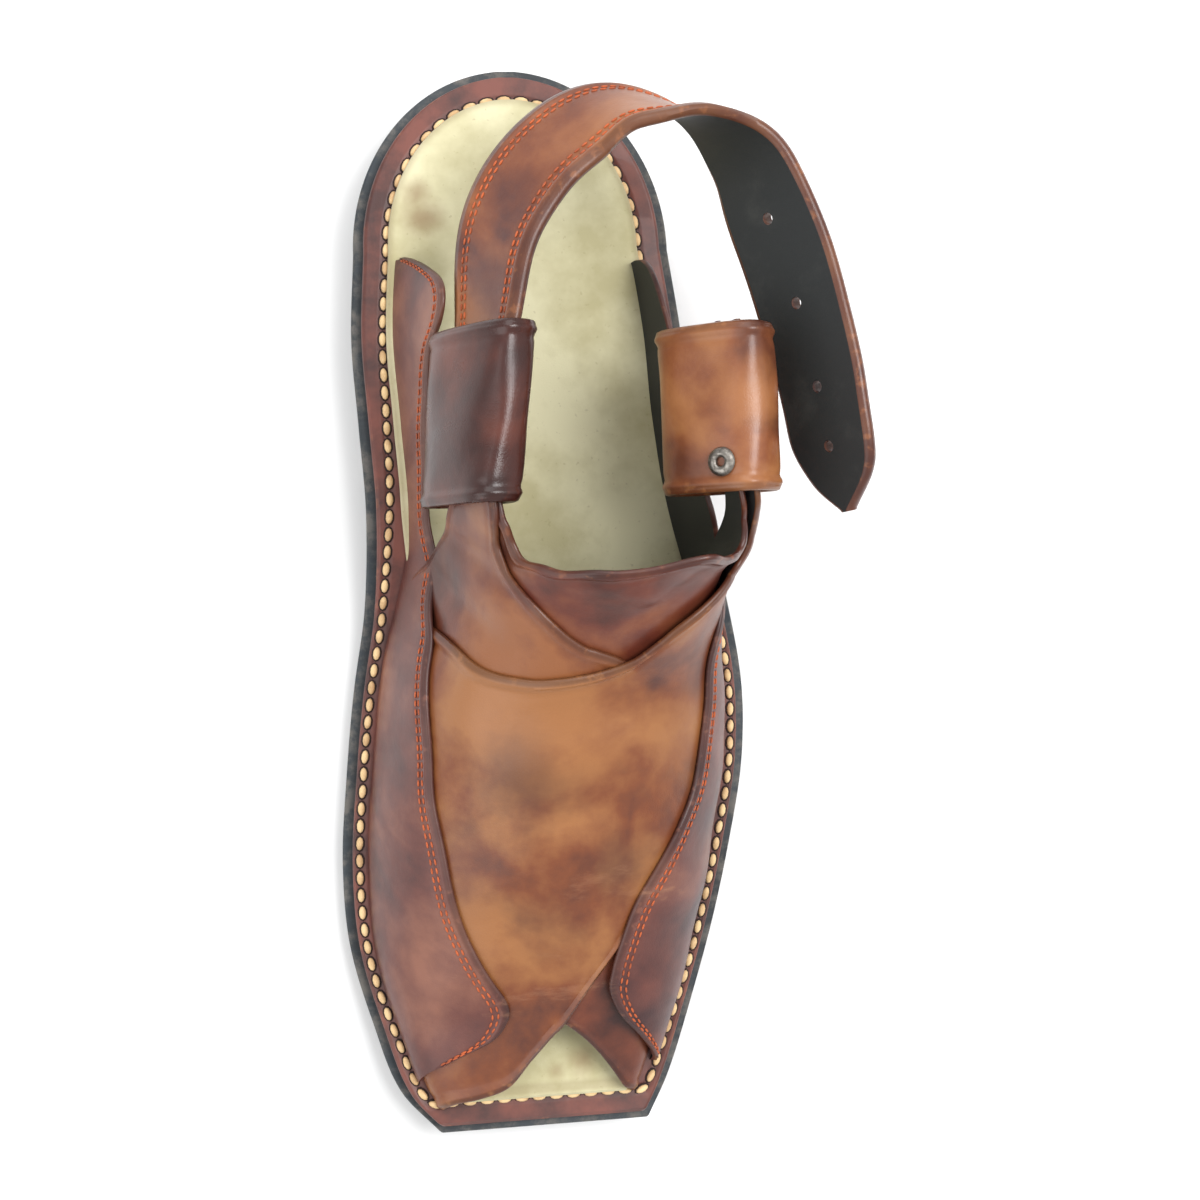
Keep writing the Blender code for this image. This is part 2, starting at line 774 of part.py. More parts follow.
def build_eyelet(sleeve, material, collection, cutters):
    frame = eyelet_frame()
    bpy.ops.mesh.primitive_cylinder_add(
        vertices=ROUND_SIDES, radius=EYELET_BARREL + FIT, depth=DRILL_DEPTH)
    drill = bpy.context.object
    drill.name = "eyelet_drill"
    drill.matrix_world = frame
    move_to(drill, cutters)
    drill.display_type = "WIRE"
    add_boolean(sleeve, drill, "DIFFERENCE")
    bake(sleeve)
    clean(sleeve)
    smooth(sleeve)

    low = -SLEEVE_WALL
    top = FIT + EYELET_FLANGE_THICKNESS
    profile = [
        (EYELET_BORE, low),
        (EYELET_BARREL, low),
        (EYELET_BARREL, FIT),
        (EYELET_FLANGE, FIT),
        (EYELET_FLANGE * EYELET_SHOULDER, top * EYELET_EDGE),
        (EYELET_FLANGE * EYELET_CROWN, top),
        (EYELET_BORE * EYELET_LIP, top),
        (EYELET_BORE, top * EYELET_EDGE),
    ]
    shape = bmesh.new()
    ring = [shape.verts.new((radius, 0.0, height)) for radius, height in profile]
    for i, vert in enumerate(ring):
        shape.edges.new((vert, ring[(i + 1) % len(ring)]))
    mesh = bpy.data.meshes.new("eyelet")
    shape.to_mesh(mesh)
    shape.free()
    item = link("eyelet", mesh, material, collection)
    item.matrix_world = frame
    turned = item.modifiers.new("turned", "SCREW")
    turned.steps = ROUND_SIDES
    turned.render_steps = ROUND_SIDES
    turned.use_merge_vertices = True
    turned.merge_threshold = SEAM_WELD
    bake(item)
    shape = bmesh.new()
    shape.from_mesh(item.data)
    bmesh.ops.recalc_face_normals(shape, faces=shape.faces)
    shape.to_mesh(item.data)
    shape.free()
    smooth(item)


def move_to(item, collection):
    for old in list(item.users_collection):
        old.objects.unlink(item)
    collection.objects.link(item)


# Place, forward direction and width direction along the back strap
def back_strap_frame(share):
    place = Vector((
        -look_up_row(BACK_STRAP, "across", share),
        look_up_row(BACK_STRAP, "along", share) - HEEL_REST,
        look_up_row(BACK_STRAP, "up", share),
    ))
    low = max(share - PATH_STEP, 0.0)
    high = min(share + PATH_STEP, 1.0)
    ends = []
    for at in (low, high):
        across = -look_up_row(BACK_STRAP, "across", at)
        along = look_up_row(BACK_STRAP, "along", at)
        ends.append(Vector((across, along, 0.0)))
    ahead = (ends[1] - ends[0]).normalized()
    inward = ahead.cross(Vector((0, 0, 1)))
    lean = math.radians(look_up_row(BACK_STRAP, "lean", share))
    wide = Vector((0, 0, 1)) * math.cos(lean) + inward * math.sin(lean)
    return place, ahead, wide


def build_back_strap(material, collection, cutters):
    rows = []
    for i in range(BACK_STRAP_ALONG + 1):
        share = i / BACK_STRAP_ALONG
        place, _, wide = back_strap_frame(share)
        width = look_up_row(BACK_STRAP, "width", share) * BACK_STRAP_WIDTH
        row = []
        for j in range(BACK_STRAP_ACROSS + 1):
            part = j / BACK_STRAP_ACROSS - 0.5
            row.append(place + wide * width * part)
        rows.append(row)
    item = link("back_strap", sheet_mesh("back_strap", rows), material, collection)
    add_solidify(item, BACK_STRAP_THICKNESS, 0.0)
    bake(item)
    for number, share in enumerate(HOLE_SHARES):
        place, ahead, wide = back_strap_frame(share)
        outward = ahead.cross(wide).normalized()
        bpy.ops.mesh.primitive_cylinder_add(
            vertices=ROUND_SIDES // 2, radius=BACK_STRAP_HOLE, depth=PUNCH_DEPTH)
        punch = bpy.context.object
        punch.name = f"punch_{number + 1}"
        punch.display_type = "WIRE"
        turn = outward.to_track_quat("Z", "Y").to_matrix().to_4x4()
        punch.matrix_world = Matrix.Translation(place) @ turn
        move_to(punch, cutters)
        add_boolean(item, punch, "DIFFERENCE")
        bake(item)
    clean(item)
    smooth(item)


def main():
    clear_scene()
    parts = new_collection("chappal")
    cutters = new_collection("cutters", hidden=True)
    rubber = make_material("black_rubber", (0.030, 0.038, 0.045), 0.70)
    welt_leather = make_material("welt_leather", (0.150, 0.050, 0.035), 0.50)
    suede = make_material("cream_suede", (0.600, 0.550, 0.400), 0.90)
    leather = make_material("tan_leather", (0.200, 0.075, 0.030), 0.38)
    dark_leather = make_material("brown_leather", (0.090, 0.028, 0.018), 0.35)
    steel = make_material("grey_metal", (0.450, 0.430, 0.400), 0.35, 1.0)
    build_heel_lift(rubber, parts)
    build_outsole(rubber, parts)
    build_midsole(welt_leather, parts)
    build_insole(suede, parts)
    build_upper(leather, parts, cutters)
    build_sleeve("medial_loop", MEDIAL_SLEEVE, dark_leather, parts)
    lateral = build_sleeve("lateral_loop", LATERAL_SLEEVE, leather, parts)
    build_eyelet(lateral, steel, parts, cutters)
    build_back_strap(leather, parts, cutters)


main()
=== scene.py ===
"""Looks of a cross-strap leather chappal, left shoe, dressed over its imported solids.

+Y runs to the toe, +X to the inner side of the foot and +Z up, in metres. The origin is the
middle of the heel's flat on the floor.
"""

from __future__ import annotations

import logging
import math
from dataclasses import dataclass, field
from enum import Enum
from typing import Callable, NamedTuple, Sequence

import bmesh
import bpy
import numpy as np
from mathutils import Matrix, Vector


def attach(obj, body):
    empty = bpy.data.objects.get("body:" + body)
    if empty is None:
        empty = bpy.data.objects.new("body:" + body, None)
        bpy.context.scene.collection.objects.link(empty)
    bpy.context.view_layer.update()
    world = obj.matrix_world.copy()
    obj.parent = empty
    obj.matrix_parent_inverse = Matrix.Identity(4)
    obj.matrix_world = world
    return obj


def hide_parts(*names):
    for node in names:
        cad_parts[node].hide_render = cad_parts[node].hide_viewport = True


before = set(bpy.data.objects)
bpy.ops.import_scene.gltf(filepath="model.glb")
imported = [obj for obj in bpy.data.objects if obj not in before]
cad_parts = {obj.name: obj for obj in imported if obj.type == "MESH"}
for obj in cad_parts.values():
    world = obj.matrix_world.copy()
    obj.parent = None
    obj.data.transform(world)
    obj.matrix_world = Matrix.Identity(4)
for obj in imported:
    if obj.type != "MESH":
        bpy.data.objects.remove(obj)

LOG = logging.getLogger("chappal")
BODY = "root"
UP = np.array([0.0, 0.0, 1.0])
SHARP_DEGREES = 48.0


class Side(Enum):
    """The two sides of the foot, with the sign of their X."""

    MEDIAL = 1
    LATERAL = -1


class Face(Enum):
    """Material places of a leather sheet."""

    OUTER = 0
    LINING = 1


class Strip(NamedTuple):
    """A row of a strap, from its throat edge to its toe edge on the last."""

    throat_along: float
    throat_girth: float
    toe_along: float
    toe_girth: float


class Edge(NamedTuple):
    """A row of a side panel, from its foot on the sole to its sewn edge."""

    foot_along: float
    along: float
    girth: float


class SleeveRow(NamedTuple):
    """A section of a sleeve: its middle, lean in degrees and half axes."""

    across: float
    along: float
    up: float
    lean: float
    half_width: float
    half_depth: float


class PathRow(NamedTuple):
    """A point of the back strap's middle line, its lean and share of width."""

    across: float
    along: float
    up: float
    lean: float
    width: float


class Crease(NamedTuple):
    """A soft trough, or a ridge where the depth is below zero, seen from above."""

    x0: float
    y0: float
    x1: float
    y1: float
    width: float
    depth: float


class Spot(NamedTuple):
    """A soft spot of colour: its middle, its radii and its strength."""

    x: float
    y: float
    z: float
    radius: float
    strength: float


TOP_STRAP = (
    Strip(0.500, 1.05, 0.965, 1.05), Strip(0.525, 0.70, 0.960, 0.72),
    Strip(0.552, 0.40, 0.955, 0.46), Strip(0.559, 0.20, 0.944, 0.24),
    Strip(0.558, 0.08, 0.915, 0.10), Strip(0.554, -0.03, 0.882, -0.02),
    Strip(0.544, -0.13, 0.845, -0.14), Strip(0.528, -0.19, 0.806, -0.26),
    Strip(0.512, -0.25, 0.760, -0.40), Strip(0.490, -0.39, 0.700, -0.62),
    Strip(0.474, -0.50, 0.620, -0.92), Strip(0.462, -0.57, 0.540, -1.05),
    Strip(0.450, -0.59, 0.485, -0.94), Strip(0.435, -0.58, 0.446, -0.72),
    Strip(0.416, -0.57, 0.418, -0.65), Strip(0.360, -0.575, 0.360, -0.64),
    Strip(0.268, -0.575, 0.268, -0.64),
)
UNDER_STRAP = (
    Strip(0.500, -1.05, 0.965, -1.05), Strip(0.525, -0.70, 0.960, -0.72),
    Strip(0.548, -0.40, 0.953, -0.52), Strip(0.553, -0.20, 0.930, -0.30),
    Strip(0.543, -0.08, 0.886, -0.03), Strip(0.535, 0.00, 0.850, 0.14),
    Strip(0.521, 0.12, 0.800, 0.30), Strip(0.500, 0.28, 0.740, 0.52),
    Strip(0.481, 0.42, 0.660, 0.80), Strip(0.459, 0.55, 0.570, 1.05),
    Strip(0.445, 0.60, 0.490, 1.00), Strip(0.432, 0.61, 0.445, 0.86),
    Strip(0.415, 0.61, 0.415, 0.80), Strip(0.372, 0.635, 0.372, 0.77),
)
THROAT_BAND = (
    Strip(0.372, 0.635, 0.372, 0.75), Strip(0.416, 0.61, 0.416, 0.76),
    Strip(0.431, 0.59, 0.455, 0.78), Strip(0.447, 0.55, 0.500, 0.78),
    Strip(0.463, 0.43, 0.550, 0.66), Strip(0.471, 0.29, 0.590, 0.45),
    Strip(0.471, 0.12, 0.610, 0.20), Strip(0.468, -0.05, 0.615, -0.05),
    Strip(0.465, -0.22, 0.605, -0.30), Strip(0.462, -0.38, 0.575, -0.55),
    Strip(0.456, -0.51, 0.520, -0.72), Strip(0.440, -0.58, 0.462, -0.76),
    Strip(0.418, -0.59, 0.420, -0.68), Strip(0.360, -0.615, 0.360, -0.66),
    Strip(0.268, -0.62, 0.268, -0.66),
)
LATERAL_EDGE = (
    Edge(0.186, 0.186, 0.960), Edge(0.192, 0.190, 0.930), Edge(0.205, 0.203, 0.900),
    Edge(0.235, 0.228, 0.875), Edge(0.280, 0.275, 0.850), Edge(0.340, 0.340, 0.815),
    Edge(0.400, 0.400, 0.790), Edge(0.450, 0.445, 0.755), Edge(0.490, 0.482, 0.680),
    Edge(0.540, 0.532, 0.540), Edge(0.600, 0.595, 0.545), Edge(0.660, 0.660, 0.525),
    Edge(0.710, 0.702, 0.446), Edge(0.760, 0.736, 0.379), Edge(0.800, 0.770, 0.300),
    Edge(0.840, 0.807, 0.251), Edge(0.870, 0.833, 0.230), Edge(0.890, 0.855, 0.236),
    Edge(0.910, 0.882, 0.333), Edge(0.928, 0.906, 0.518), Edge(0.942, 0.928, 0.760),
)
MEDIAL_EDGE = (
    Edge(0.180, 0.180, 0.960), Edge(0.186, 0.186, 0.920), Edge(0.199, 0.198, 0.860),
    Edge(0.216, 0.214, 0.800), Edge(0.234, 0.232, 0.780), Edge(0.252, 0.250, 0.795),
    Edge(0.272, 0.270, 0.845), Edge(0.300, 0.300, 0.880), Edge(0.360, 0.360, 0.910),
    Edge(0.420, 0.420, 0.920), Edge(0.480, 0.480, 0.850), Edge(0.540, 0.530, 0.720),
    Edge(0.600, 0.590, 0.600), Edge(0.660, 0.660, 0.540), Edge(0.720, 0.720, 0.460),
    Edge(0.785, 0.778, 0.387), Edge(0.830, 0.812, 0.320), Edge(0.865, 0.837, 0.261),
    Edge(0.888, 0.858, 0.210), Edge(0.905, 0.875, 0.215), Edge(0.925, 0.897, 0.314),
    Edge(0.942, 0.919, 0.598),
)
LATERAL_SLEEVE = (
    SleeveRow(0.0455, 0.079, 0.0675, 43, 0.0150, 0.0090),
    SleeveRow(0.0457, 0.118, 0.0675, 43, 0.0150, 0.0090),
)
MEDIAL_SLEEVE = (
    SleeveRow(-0.0115, 0.077, 0.0625, 58, 0.0175, 0.0077),
    SleeveRow(-0.0165, 0.1185, 0.0610, 62, 0.0175, 0.0077),
)
BACK_STRAP = (
    PathRow(-0.0125, 0.107, 0.0605, 27, 0.62), PathRow(-0.0120, 0.095, 0.0612, 27, 0.84),
    PathRow(-0.0110, 0.078, 0.0622, 29, 0.95), PathRow(-0.0085, 0.060, 0.0628, 36, 1.00),
    PathRow(-0.0035, 0.046, 0.0635, 45, 1.00), PathRow(0.0035, 0.036, 0.0643, 48, 1.00),
    PathRow(0.0135, 0.0275, 0.0650, 48, 1.00), PathRow(0.0240, 0.0235, 0.0655, 36, 1.00),
    PathRow(0.0350, 0.0235, 0.0660, 22, 1.00), PathRow(0.0450, 0.0270, 0.0660, 2, 1.00),
    PathRow(0.0535, 0.0350, 0.0665, -20, 1.00), PathRow(0.0590, 0.0455, 0.0670, -32, 1.00),
    PathRow(0.0640, 0.0600, 0.0675, -36, 1.00), PathRow(0.0690, 0.0800, 0.0680, -34, 1.00),
    PathRow(0.0720, 0.0960, 0.0680, -31, 1.00), PathRow(0.0745, 0.1080, 0.0680, -29, 0.97),
    PathRow(0.0760, 0.1165, 0.0680, -28, 0.72), PathRow(0.0775, 0.1245, 0.0680, -28, 0.12),
)


def srgb(red: int, green: int, blue: int) -> tuple[float, float, float, float]:
    """Turns a colour of 0 to 255 into linear light.

    Args:
        red: Share of red.
        green: Share of green.
        blue: Share of blue.

    Returns:
        The linear colour with full alpha.
    """
    linear = [(c / 255 / 12.92) if c <= 10 else ((c / 255 + 0.055) / 1.055) ** 2.4
              for c in (red, green, blue)]
    return (*linear, 1.0)


def unit(vectors: np.ndarray) -> np.ndarray:
    """Scales vectors to length one.

    Args:
        vectors: Any array of vectors.

    Returns:
        The unit vectors.
    """
    return vectors / np.maximum(np.linalg.norm(vectors, axis=-1, keepdims=True), 1e-12)


def between(positions: Sequence[float], values: Sequence[float], at: np.ndarray) -> np.ndarray:
    """Reads smooth values between the rows of a table.

    Args:
        positions: Rising places of the rows.
        values: Values of the rows.
        at: Places to read.

    Returns:
        The value at each place.
    """
    places = np.asarray(positions, float)
    marks = np.asarray(values, float)
    last = len(places) - 1
    low = np.maximum(np.arange(last + 1) - 1, 0)
    high = np.minimum(np.arange(last + 1) + 1, last)
    slopes = (marks[high] - marks[low]) / (places[high] - places[low])
    at = np.clip(np.asarray(at, float), places[0], places[last])
    row = np.clip(np.searchsorted(places, at, side="right") - 1, 0, last - 1)
    span = places[row + 1] - places[row]
    share = (at - places[row]) / span
    square, cube = share ** 2, share ** 3
    return ((2 * cube - 3 * square + 1) * marks[row] + (cube - 2 * square + share) * span * slopes[row]
            + (3 * square - 2 * cube) * marks[row + 1] + (cube - square) * span * slopes[row + 1])


def column(table: Sequence[NamedTuple], name: str) -> list[float]:
    """Takes one named column of a table as a list."""
    return [getattr(row, name) for row in table]


def along_rows(table: Sequence[NamedTuple], name: str, share: np.ndarray) -> np.ndarray:
    """Reads a column by the share of the way down its table.

    Args:
        table: Rows of one kind.
        name: Column to read.
        share: Places from 0 to 1.

    Returns:
        The column's smooth value at each place.
    """
    return between(np.linspace(0, 1, len(table)), column(table, name), share)


def ease(value: np.ndarray, start: float, end: float) -> np.ndarray:
    """Rises smoothly from 0 at start to 1 at end.

    Args:
        value: Places to read.
        start: Where the rise begins.
        end: Where it ends.

    Returns:
        Shares from 0 to 1.
    """
    share = np.clip((np.asarray(value, float) - start) / (end - start), 0, 1)
    return share * share * (3 - 2 * share)


@dataclass(frozen=True)
class Last:
    """The form that the shoe is built on, with the levels of its sole."""

    length: float = 0.290
    ball_width: float = 0.112
    heel_width: float = 0.086
    heel_rest: float = 0.040
    heel_round: float = 0.17
    collar_height: float = 0.092
    collar_lean: float = 0.028
    heel_lift: float = 0.0090
    outsole: float = 0.0070
    midsole: float = 0.0040
    insole: float = 0.0022
    fit: float = 0.0003
    arch: tuple[float, float] = (0.385, 0.58)
    spring: tuple[float, float, float] = (0.78, 0.0070, 1.8)
    inset: float = 0.0130
    skirt: float = 0.0030
    skirt_girth: float = 1.05
    flare_power: float = 6.0
    outline: tuple = (
        (0.17, 0.384, 0.384), (0.25, 0.397, 0.411), (0.33, 0.388, 0.424), (0.41, 0.379, 0.451),
        (0.50, 0.393, 0.509), (0.58, 0.429, 0.545), (0.66, 0.455, 0.540), (0.74, 0.473, 0.500),
        (0.82, 0.464, 0.446), (0.90, 0.411, 0.375), (0.96, 0.353, 0.313), (1.00, 0.259, 0.255),
    )
    form: tuple = (
        (0.15, 1.000, 0.96, 0.50, 0.06), (0.30, 1.000, 1.00, 0.50, 0.06),
        (0.42, 0.957, 1.00, 0.50, 0.06), (0.45, 0.826, 0.96, 0.60, 0.06),
        (0.476, 0.707, 0.71, 0.74, 0.07), (0.565, 0.500, 0.29, 0.90, 0.05),
        (0.65, 0.413, 0.18, 0.92, 0.04), (0.75, 0.315, 0.14, 0.92, 0.03),
        (0.85, 0.196, 0.11, 0.90, 0.00), (0.90, 0.130, 0.11, 0.85, 0.00),
        (0.955, 0.065, 0.11, 0.80, 0.00), (1.00, 0.045, 0.11, 0.80, 0.00),
    )

    def camber(self, along: np.ndarray) -> np.ndarray:
        """Gives the height of the outsole's underside over the floor.

        Args:
            along: Shares of the sole's length.

        Returns:
            The height at each share.
        """
        along = np.asarray(along, float)
        heel = self.heel_lift + self.fit
        share = np.clip((along - self.arch[0]) / (self.arch[1] - self.arch[0]), 0, 1)
        start, rise, power = self.spring
        toe = rise * (np.maximum(along - start, 0) / (1 - start)) ** power
        return heel * (1 + np.cos(math.pi * share)) / 2 + toe

    def midsole_level(self, along: np.ndarray) -> np.ndarray:
        """Gives the height of the midsole's underside."""
        return self.camber(along) + self.outsole + self.fit

    def outsole_top(self, along: np.ndarray) -> np.ndarray:
        """Gives the height of the outsole's top face."""
        return self.camber(along) + self.outsole

    def midsole_top(self, along: np.ndarray) -> np.ndarray:
        """Gives the height of the midsole's top face."""
        return self.midsole_level(along) + self.midsole

    def footbed_top(self, along: np.ndarray) -> np.ndarray:
        """Gives the height of the footbed's top face."""
        return self.upper_level(along) + self.insole

    def upper_level(self, along: np.ndarray) -> np.ndarray:
        """Gives the height of the insole's underside."""
        return self.midsole_level(along) + self.midsole + self.fit

    def half_width(self, along: np.ndarray, side: Side, inset: np.ndarray | float = 0.0) -> np.ndarray:
        """Gives the half width of the outline on one side.

        Args:
            along: Shares of the length.
            side: Side of the foot.
            inset: Distance taken off the outline.

        Returns:
            The half width at each share.
        """
        along = np.asarray(along, float)
        radius = self.heel_round - np.asarray(inset) / self.length
        share = np.clip((self.heel_round - along) / radius, 0, 1)
        heel = (self.heel_width / 2 - inset) * np.sqrt(1 - share ** 2)
        rows = np.array(self.outline)
        column_of_side = 1 if side is Side.MEDIAL else 2
        body = between(rows[:, 0], rows[:, column_of_side], along) * self.ball_width - inset
        return np.where(along < self.heel_round, heel, body)

    def points(self, along: np.ndarray, girth: np.ndarray) -> np.ndarray:
        """Gives points of the last.

        Args:
            along: Shares of the length.
            girth: Places round it, from -1 at the lateral foot to 1 at the medial foot.

        Returns:
            The points, one vector for each pair.
        """
        along, girth = np.broadcast_arrays(np.asarray(along, float), np.asarray(girth, float))
        rows = np.array(self.form)
        medial = girth > 0
        half = np.where(medial, self.half_width(along, Side.MEDIAL, self.inset),
                        self.half_width(along, Side.LATERAL, self.inset))
        sign = np.where(medial, 1.0, -1.0)
        angle = math.pi / 2 * (1 - np.minimum(np.abs(girth), 1))
        rise = np.sin(angle)
        height, lean, fullness, flare = (between(rows[:, 0], rows[:, k], along) for k in (1, 2, 3, 4))
        turn = np.maximum(np.cos(angle), 1e-9) ** fullness
        spread = (1 - flare) * turn + flare * (1 - rise) ** self.flare_power
        x = sign * half * spread - lean * self.collar_lean * rise
        drop = self.skirt * np.maximum(np.abs(girth) - 1, 0) / (self.skirt_girth - 1)
        z = self.upper_level(along) + height * self.collar_height * rise - drop
        return np.stack([x, along * self.length - self.heel_rest, z], axis=-1)

    def normals(self, along: np.ndarray, girth: np.ndarray) -> np.ndarray:
        """Gives the last's outward directions.

        Args:
            along: Shares of the length.
            girth: Places round it.

        Returns:
            Unit vectors.
        """
        step = 0.002
        along, girth = np.broadcast_arrays(np.asarray(along, float), np.asarray(girth, float))
        ahead = self.points(along + step, girth) - self.points(along - step, girth)
        around = (self.points(along, np.clip(girth + step, -1, 1))
                  - self.points(along, np.clip(girth - step, -1, 1)))
        free = unit(np.cross(around, ahead))
        foot = unit(np.cross(ahead, UP)) * np.where(girth > 0, 1.0, -1.0)[..., None]
        return np.where((np.abs(girth) >= 1)[..., None], foot, free)

    def outline_loop(self, inset: Callable[[np.ndarray], np.ndarray], toe_inset: float,
                     count: int = 400) -> np.ndarray:
        """Gives a closed line at a distance inside the outline.

        Args:
            inset: Distance from the outline by the share of the length.
            toe_inset: Distance from the toe's straight end.
            count: Points on each side.

        Returns:
            Points in plan, up the medial side and down the lateral one.
        """
        turn = np.linspace(0, math.pi / 2, count // 3)
        start = float(inset(np.array([0.0]))[0]) / self.length
        heel = start + (self.heel_round - start) * (1 - np.cos(turn))
        rest = np.linspace(self.heel_round, 1 - toe_inset / self.length, count - count // 3 + 1)[1:]
        along = np.concatenate([heel, rest])
        y = along * self.length - self.heel_rest
        medial = np.stack([self.half_width(along, Side.MEDIAL, inset(along)), y], axis=1)
        lateral = np.stack([-self.half_width(along, Side.LATERAL, inset(along)), y], axis=1)
        return np.concatenate([medial, lateral[:0:-1]])


LAST = Last()
CREASES = (
    Crease(0.020, 0.084, 0.004, 0.103, 0.0022, 0.0009),
    Crease(0.026, 0.092, 0.010, 0.112, 0.0026, 0.0010),
    Crease(0.030, 0.104, 0.018, 0.122, 0.0030, 0.0008), Crease(-0.040, 0.098, -0.022, 0.108, 0.0022, 0.0008),
    Crease(-0.010, 0.100, -0.030, 0.104, 0.0024, -0.0006), Crease(0.010, 0.150, -0.014, 0.158, 0.0060, 0.0007),
    Crease(-0.020, 0.132, -0.030, 0.170, 0.0070, -0.0006), Crease(0.022, 0.140, 0.012, 0.176, 0.0070, 0.0006),
    Crease(-0.004, 0.176, -0.022, 0.188, 0.0060, 0.0005), Crease(0.014, 0.118, 0.016, 0.140, 0.0050, -0.0006),
)


def relief(points: np.ndarray) -> np.ndarray:
    """Gives how far the leather sinks or stands at its creases and slack places.

    Args:
        points: Points of the upper.

    Returns:
        Distances along the outward direction.
    """
    x, y = points[..., 0], points[..., 1]
    total = 0.00022 * np.sin(x * 190 + y * 120) + 0.00018 * np.sin(y * 260 - x * 90 + 1.3)
    for crease in CREASES:
        start = np.array([crease.x0, crease.y0])
        run = np.array([crease.x1, crease.y1]) - start
        length = float(np.hypot(*run))
        ahead = ((x - start[0]) * run[0] + (y - start[1]) * run[1]) / length
        off = ((x - start[0]) * -run[1] + (y - start[1]) * run[0]) / length
        ends = ease(ahead, -0.25 * length, 0.25 * length) * (1 - ease(ahead, 0.75 * length, 1.25 * length))
        total = total - crease.depth * np.exp(-(off / crease.width) ** 2) * ends
    return total


class Value:
    """A number socket that can be used in Python expressions."""

    def __init__(self, tree: "NodeSheet", socket: bpy.types.NodeSocket) -> None:
        """Keeps the socket and the sheet that its nodes go on."""
        self.tree = tree
        self.socket = socket

    def maths(self, operation: str, *others: "Value | float", first: bool = True) -> "Value":
        """Adds a Math node.

        Args:
            operation: The node's operation.
            others: Other numbers or sockets.
            first: Whether this socket is the first input.

        Returns:
            The node's value.
        """
        given = [self, *others] if first else [*others, self]
        node = self.tree.add("ShaderNodeMath", {"operation": operation}, dict(enumerate(given)))
        return Value(self.tree, node.outputs[0])

    def __add__(self, other: "Value | float") -> "Value":
        """Adds."""
        return self.maths("ADD", other)

    __radd__ = __add__

    def __sub__(self, other: "Value | float") -> "Value":
        """Takes away."""
        return self.maths("SUBTRACT", other)

    def __rsub__(self, other: "Value | float") -> "Value":
        """Is taken away from a number."""
        return self.maths("SUBTRACT", other, first=False)

    def __mul__(self, other: "Value | float") -> "Value":
        """Multiplies."""
        return self.maths("MULTIPLY", other)

    __rmul__ = __mul__

    def larger(self, other: "Value | float") -> "Value":
        """Takes the larger of two."""
        return self.maths("MAXIMUM", other)

    def rise(self, low: float, high: float) -> "Value":
        """Rises smoothly from 0 at low to 1 at high.

        Args:
            low: Where the rise begins.
            high: Where it ends.

        Returns:
            The smooth share.
        """
        node = self.tree.add("ShaderNodeMapRange", {"interpolation_type": "SMOOTHSTEP"},
                             {"Value": self, "From Min": low, "From Max": high})
        return Value(self.tree, node.outputs["Result"])


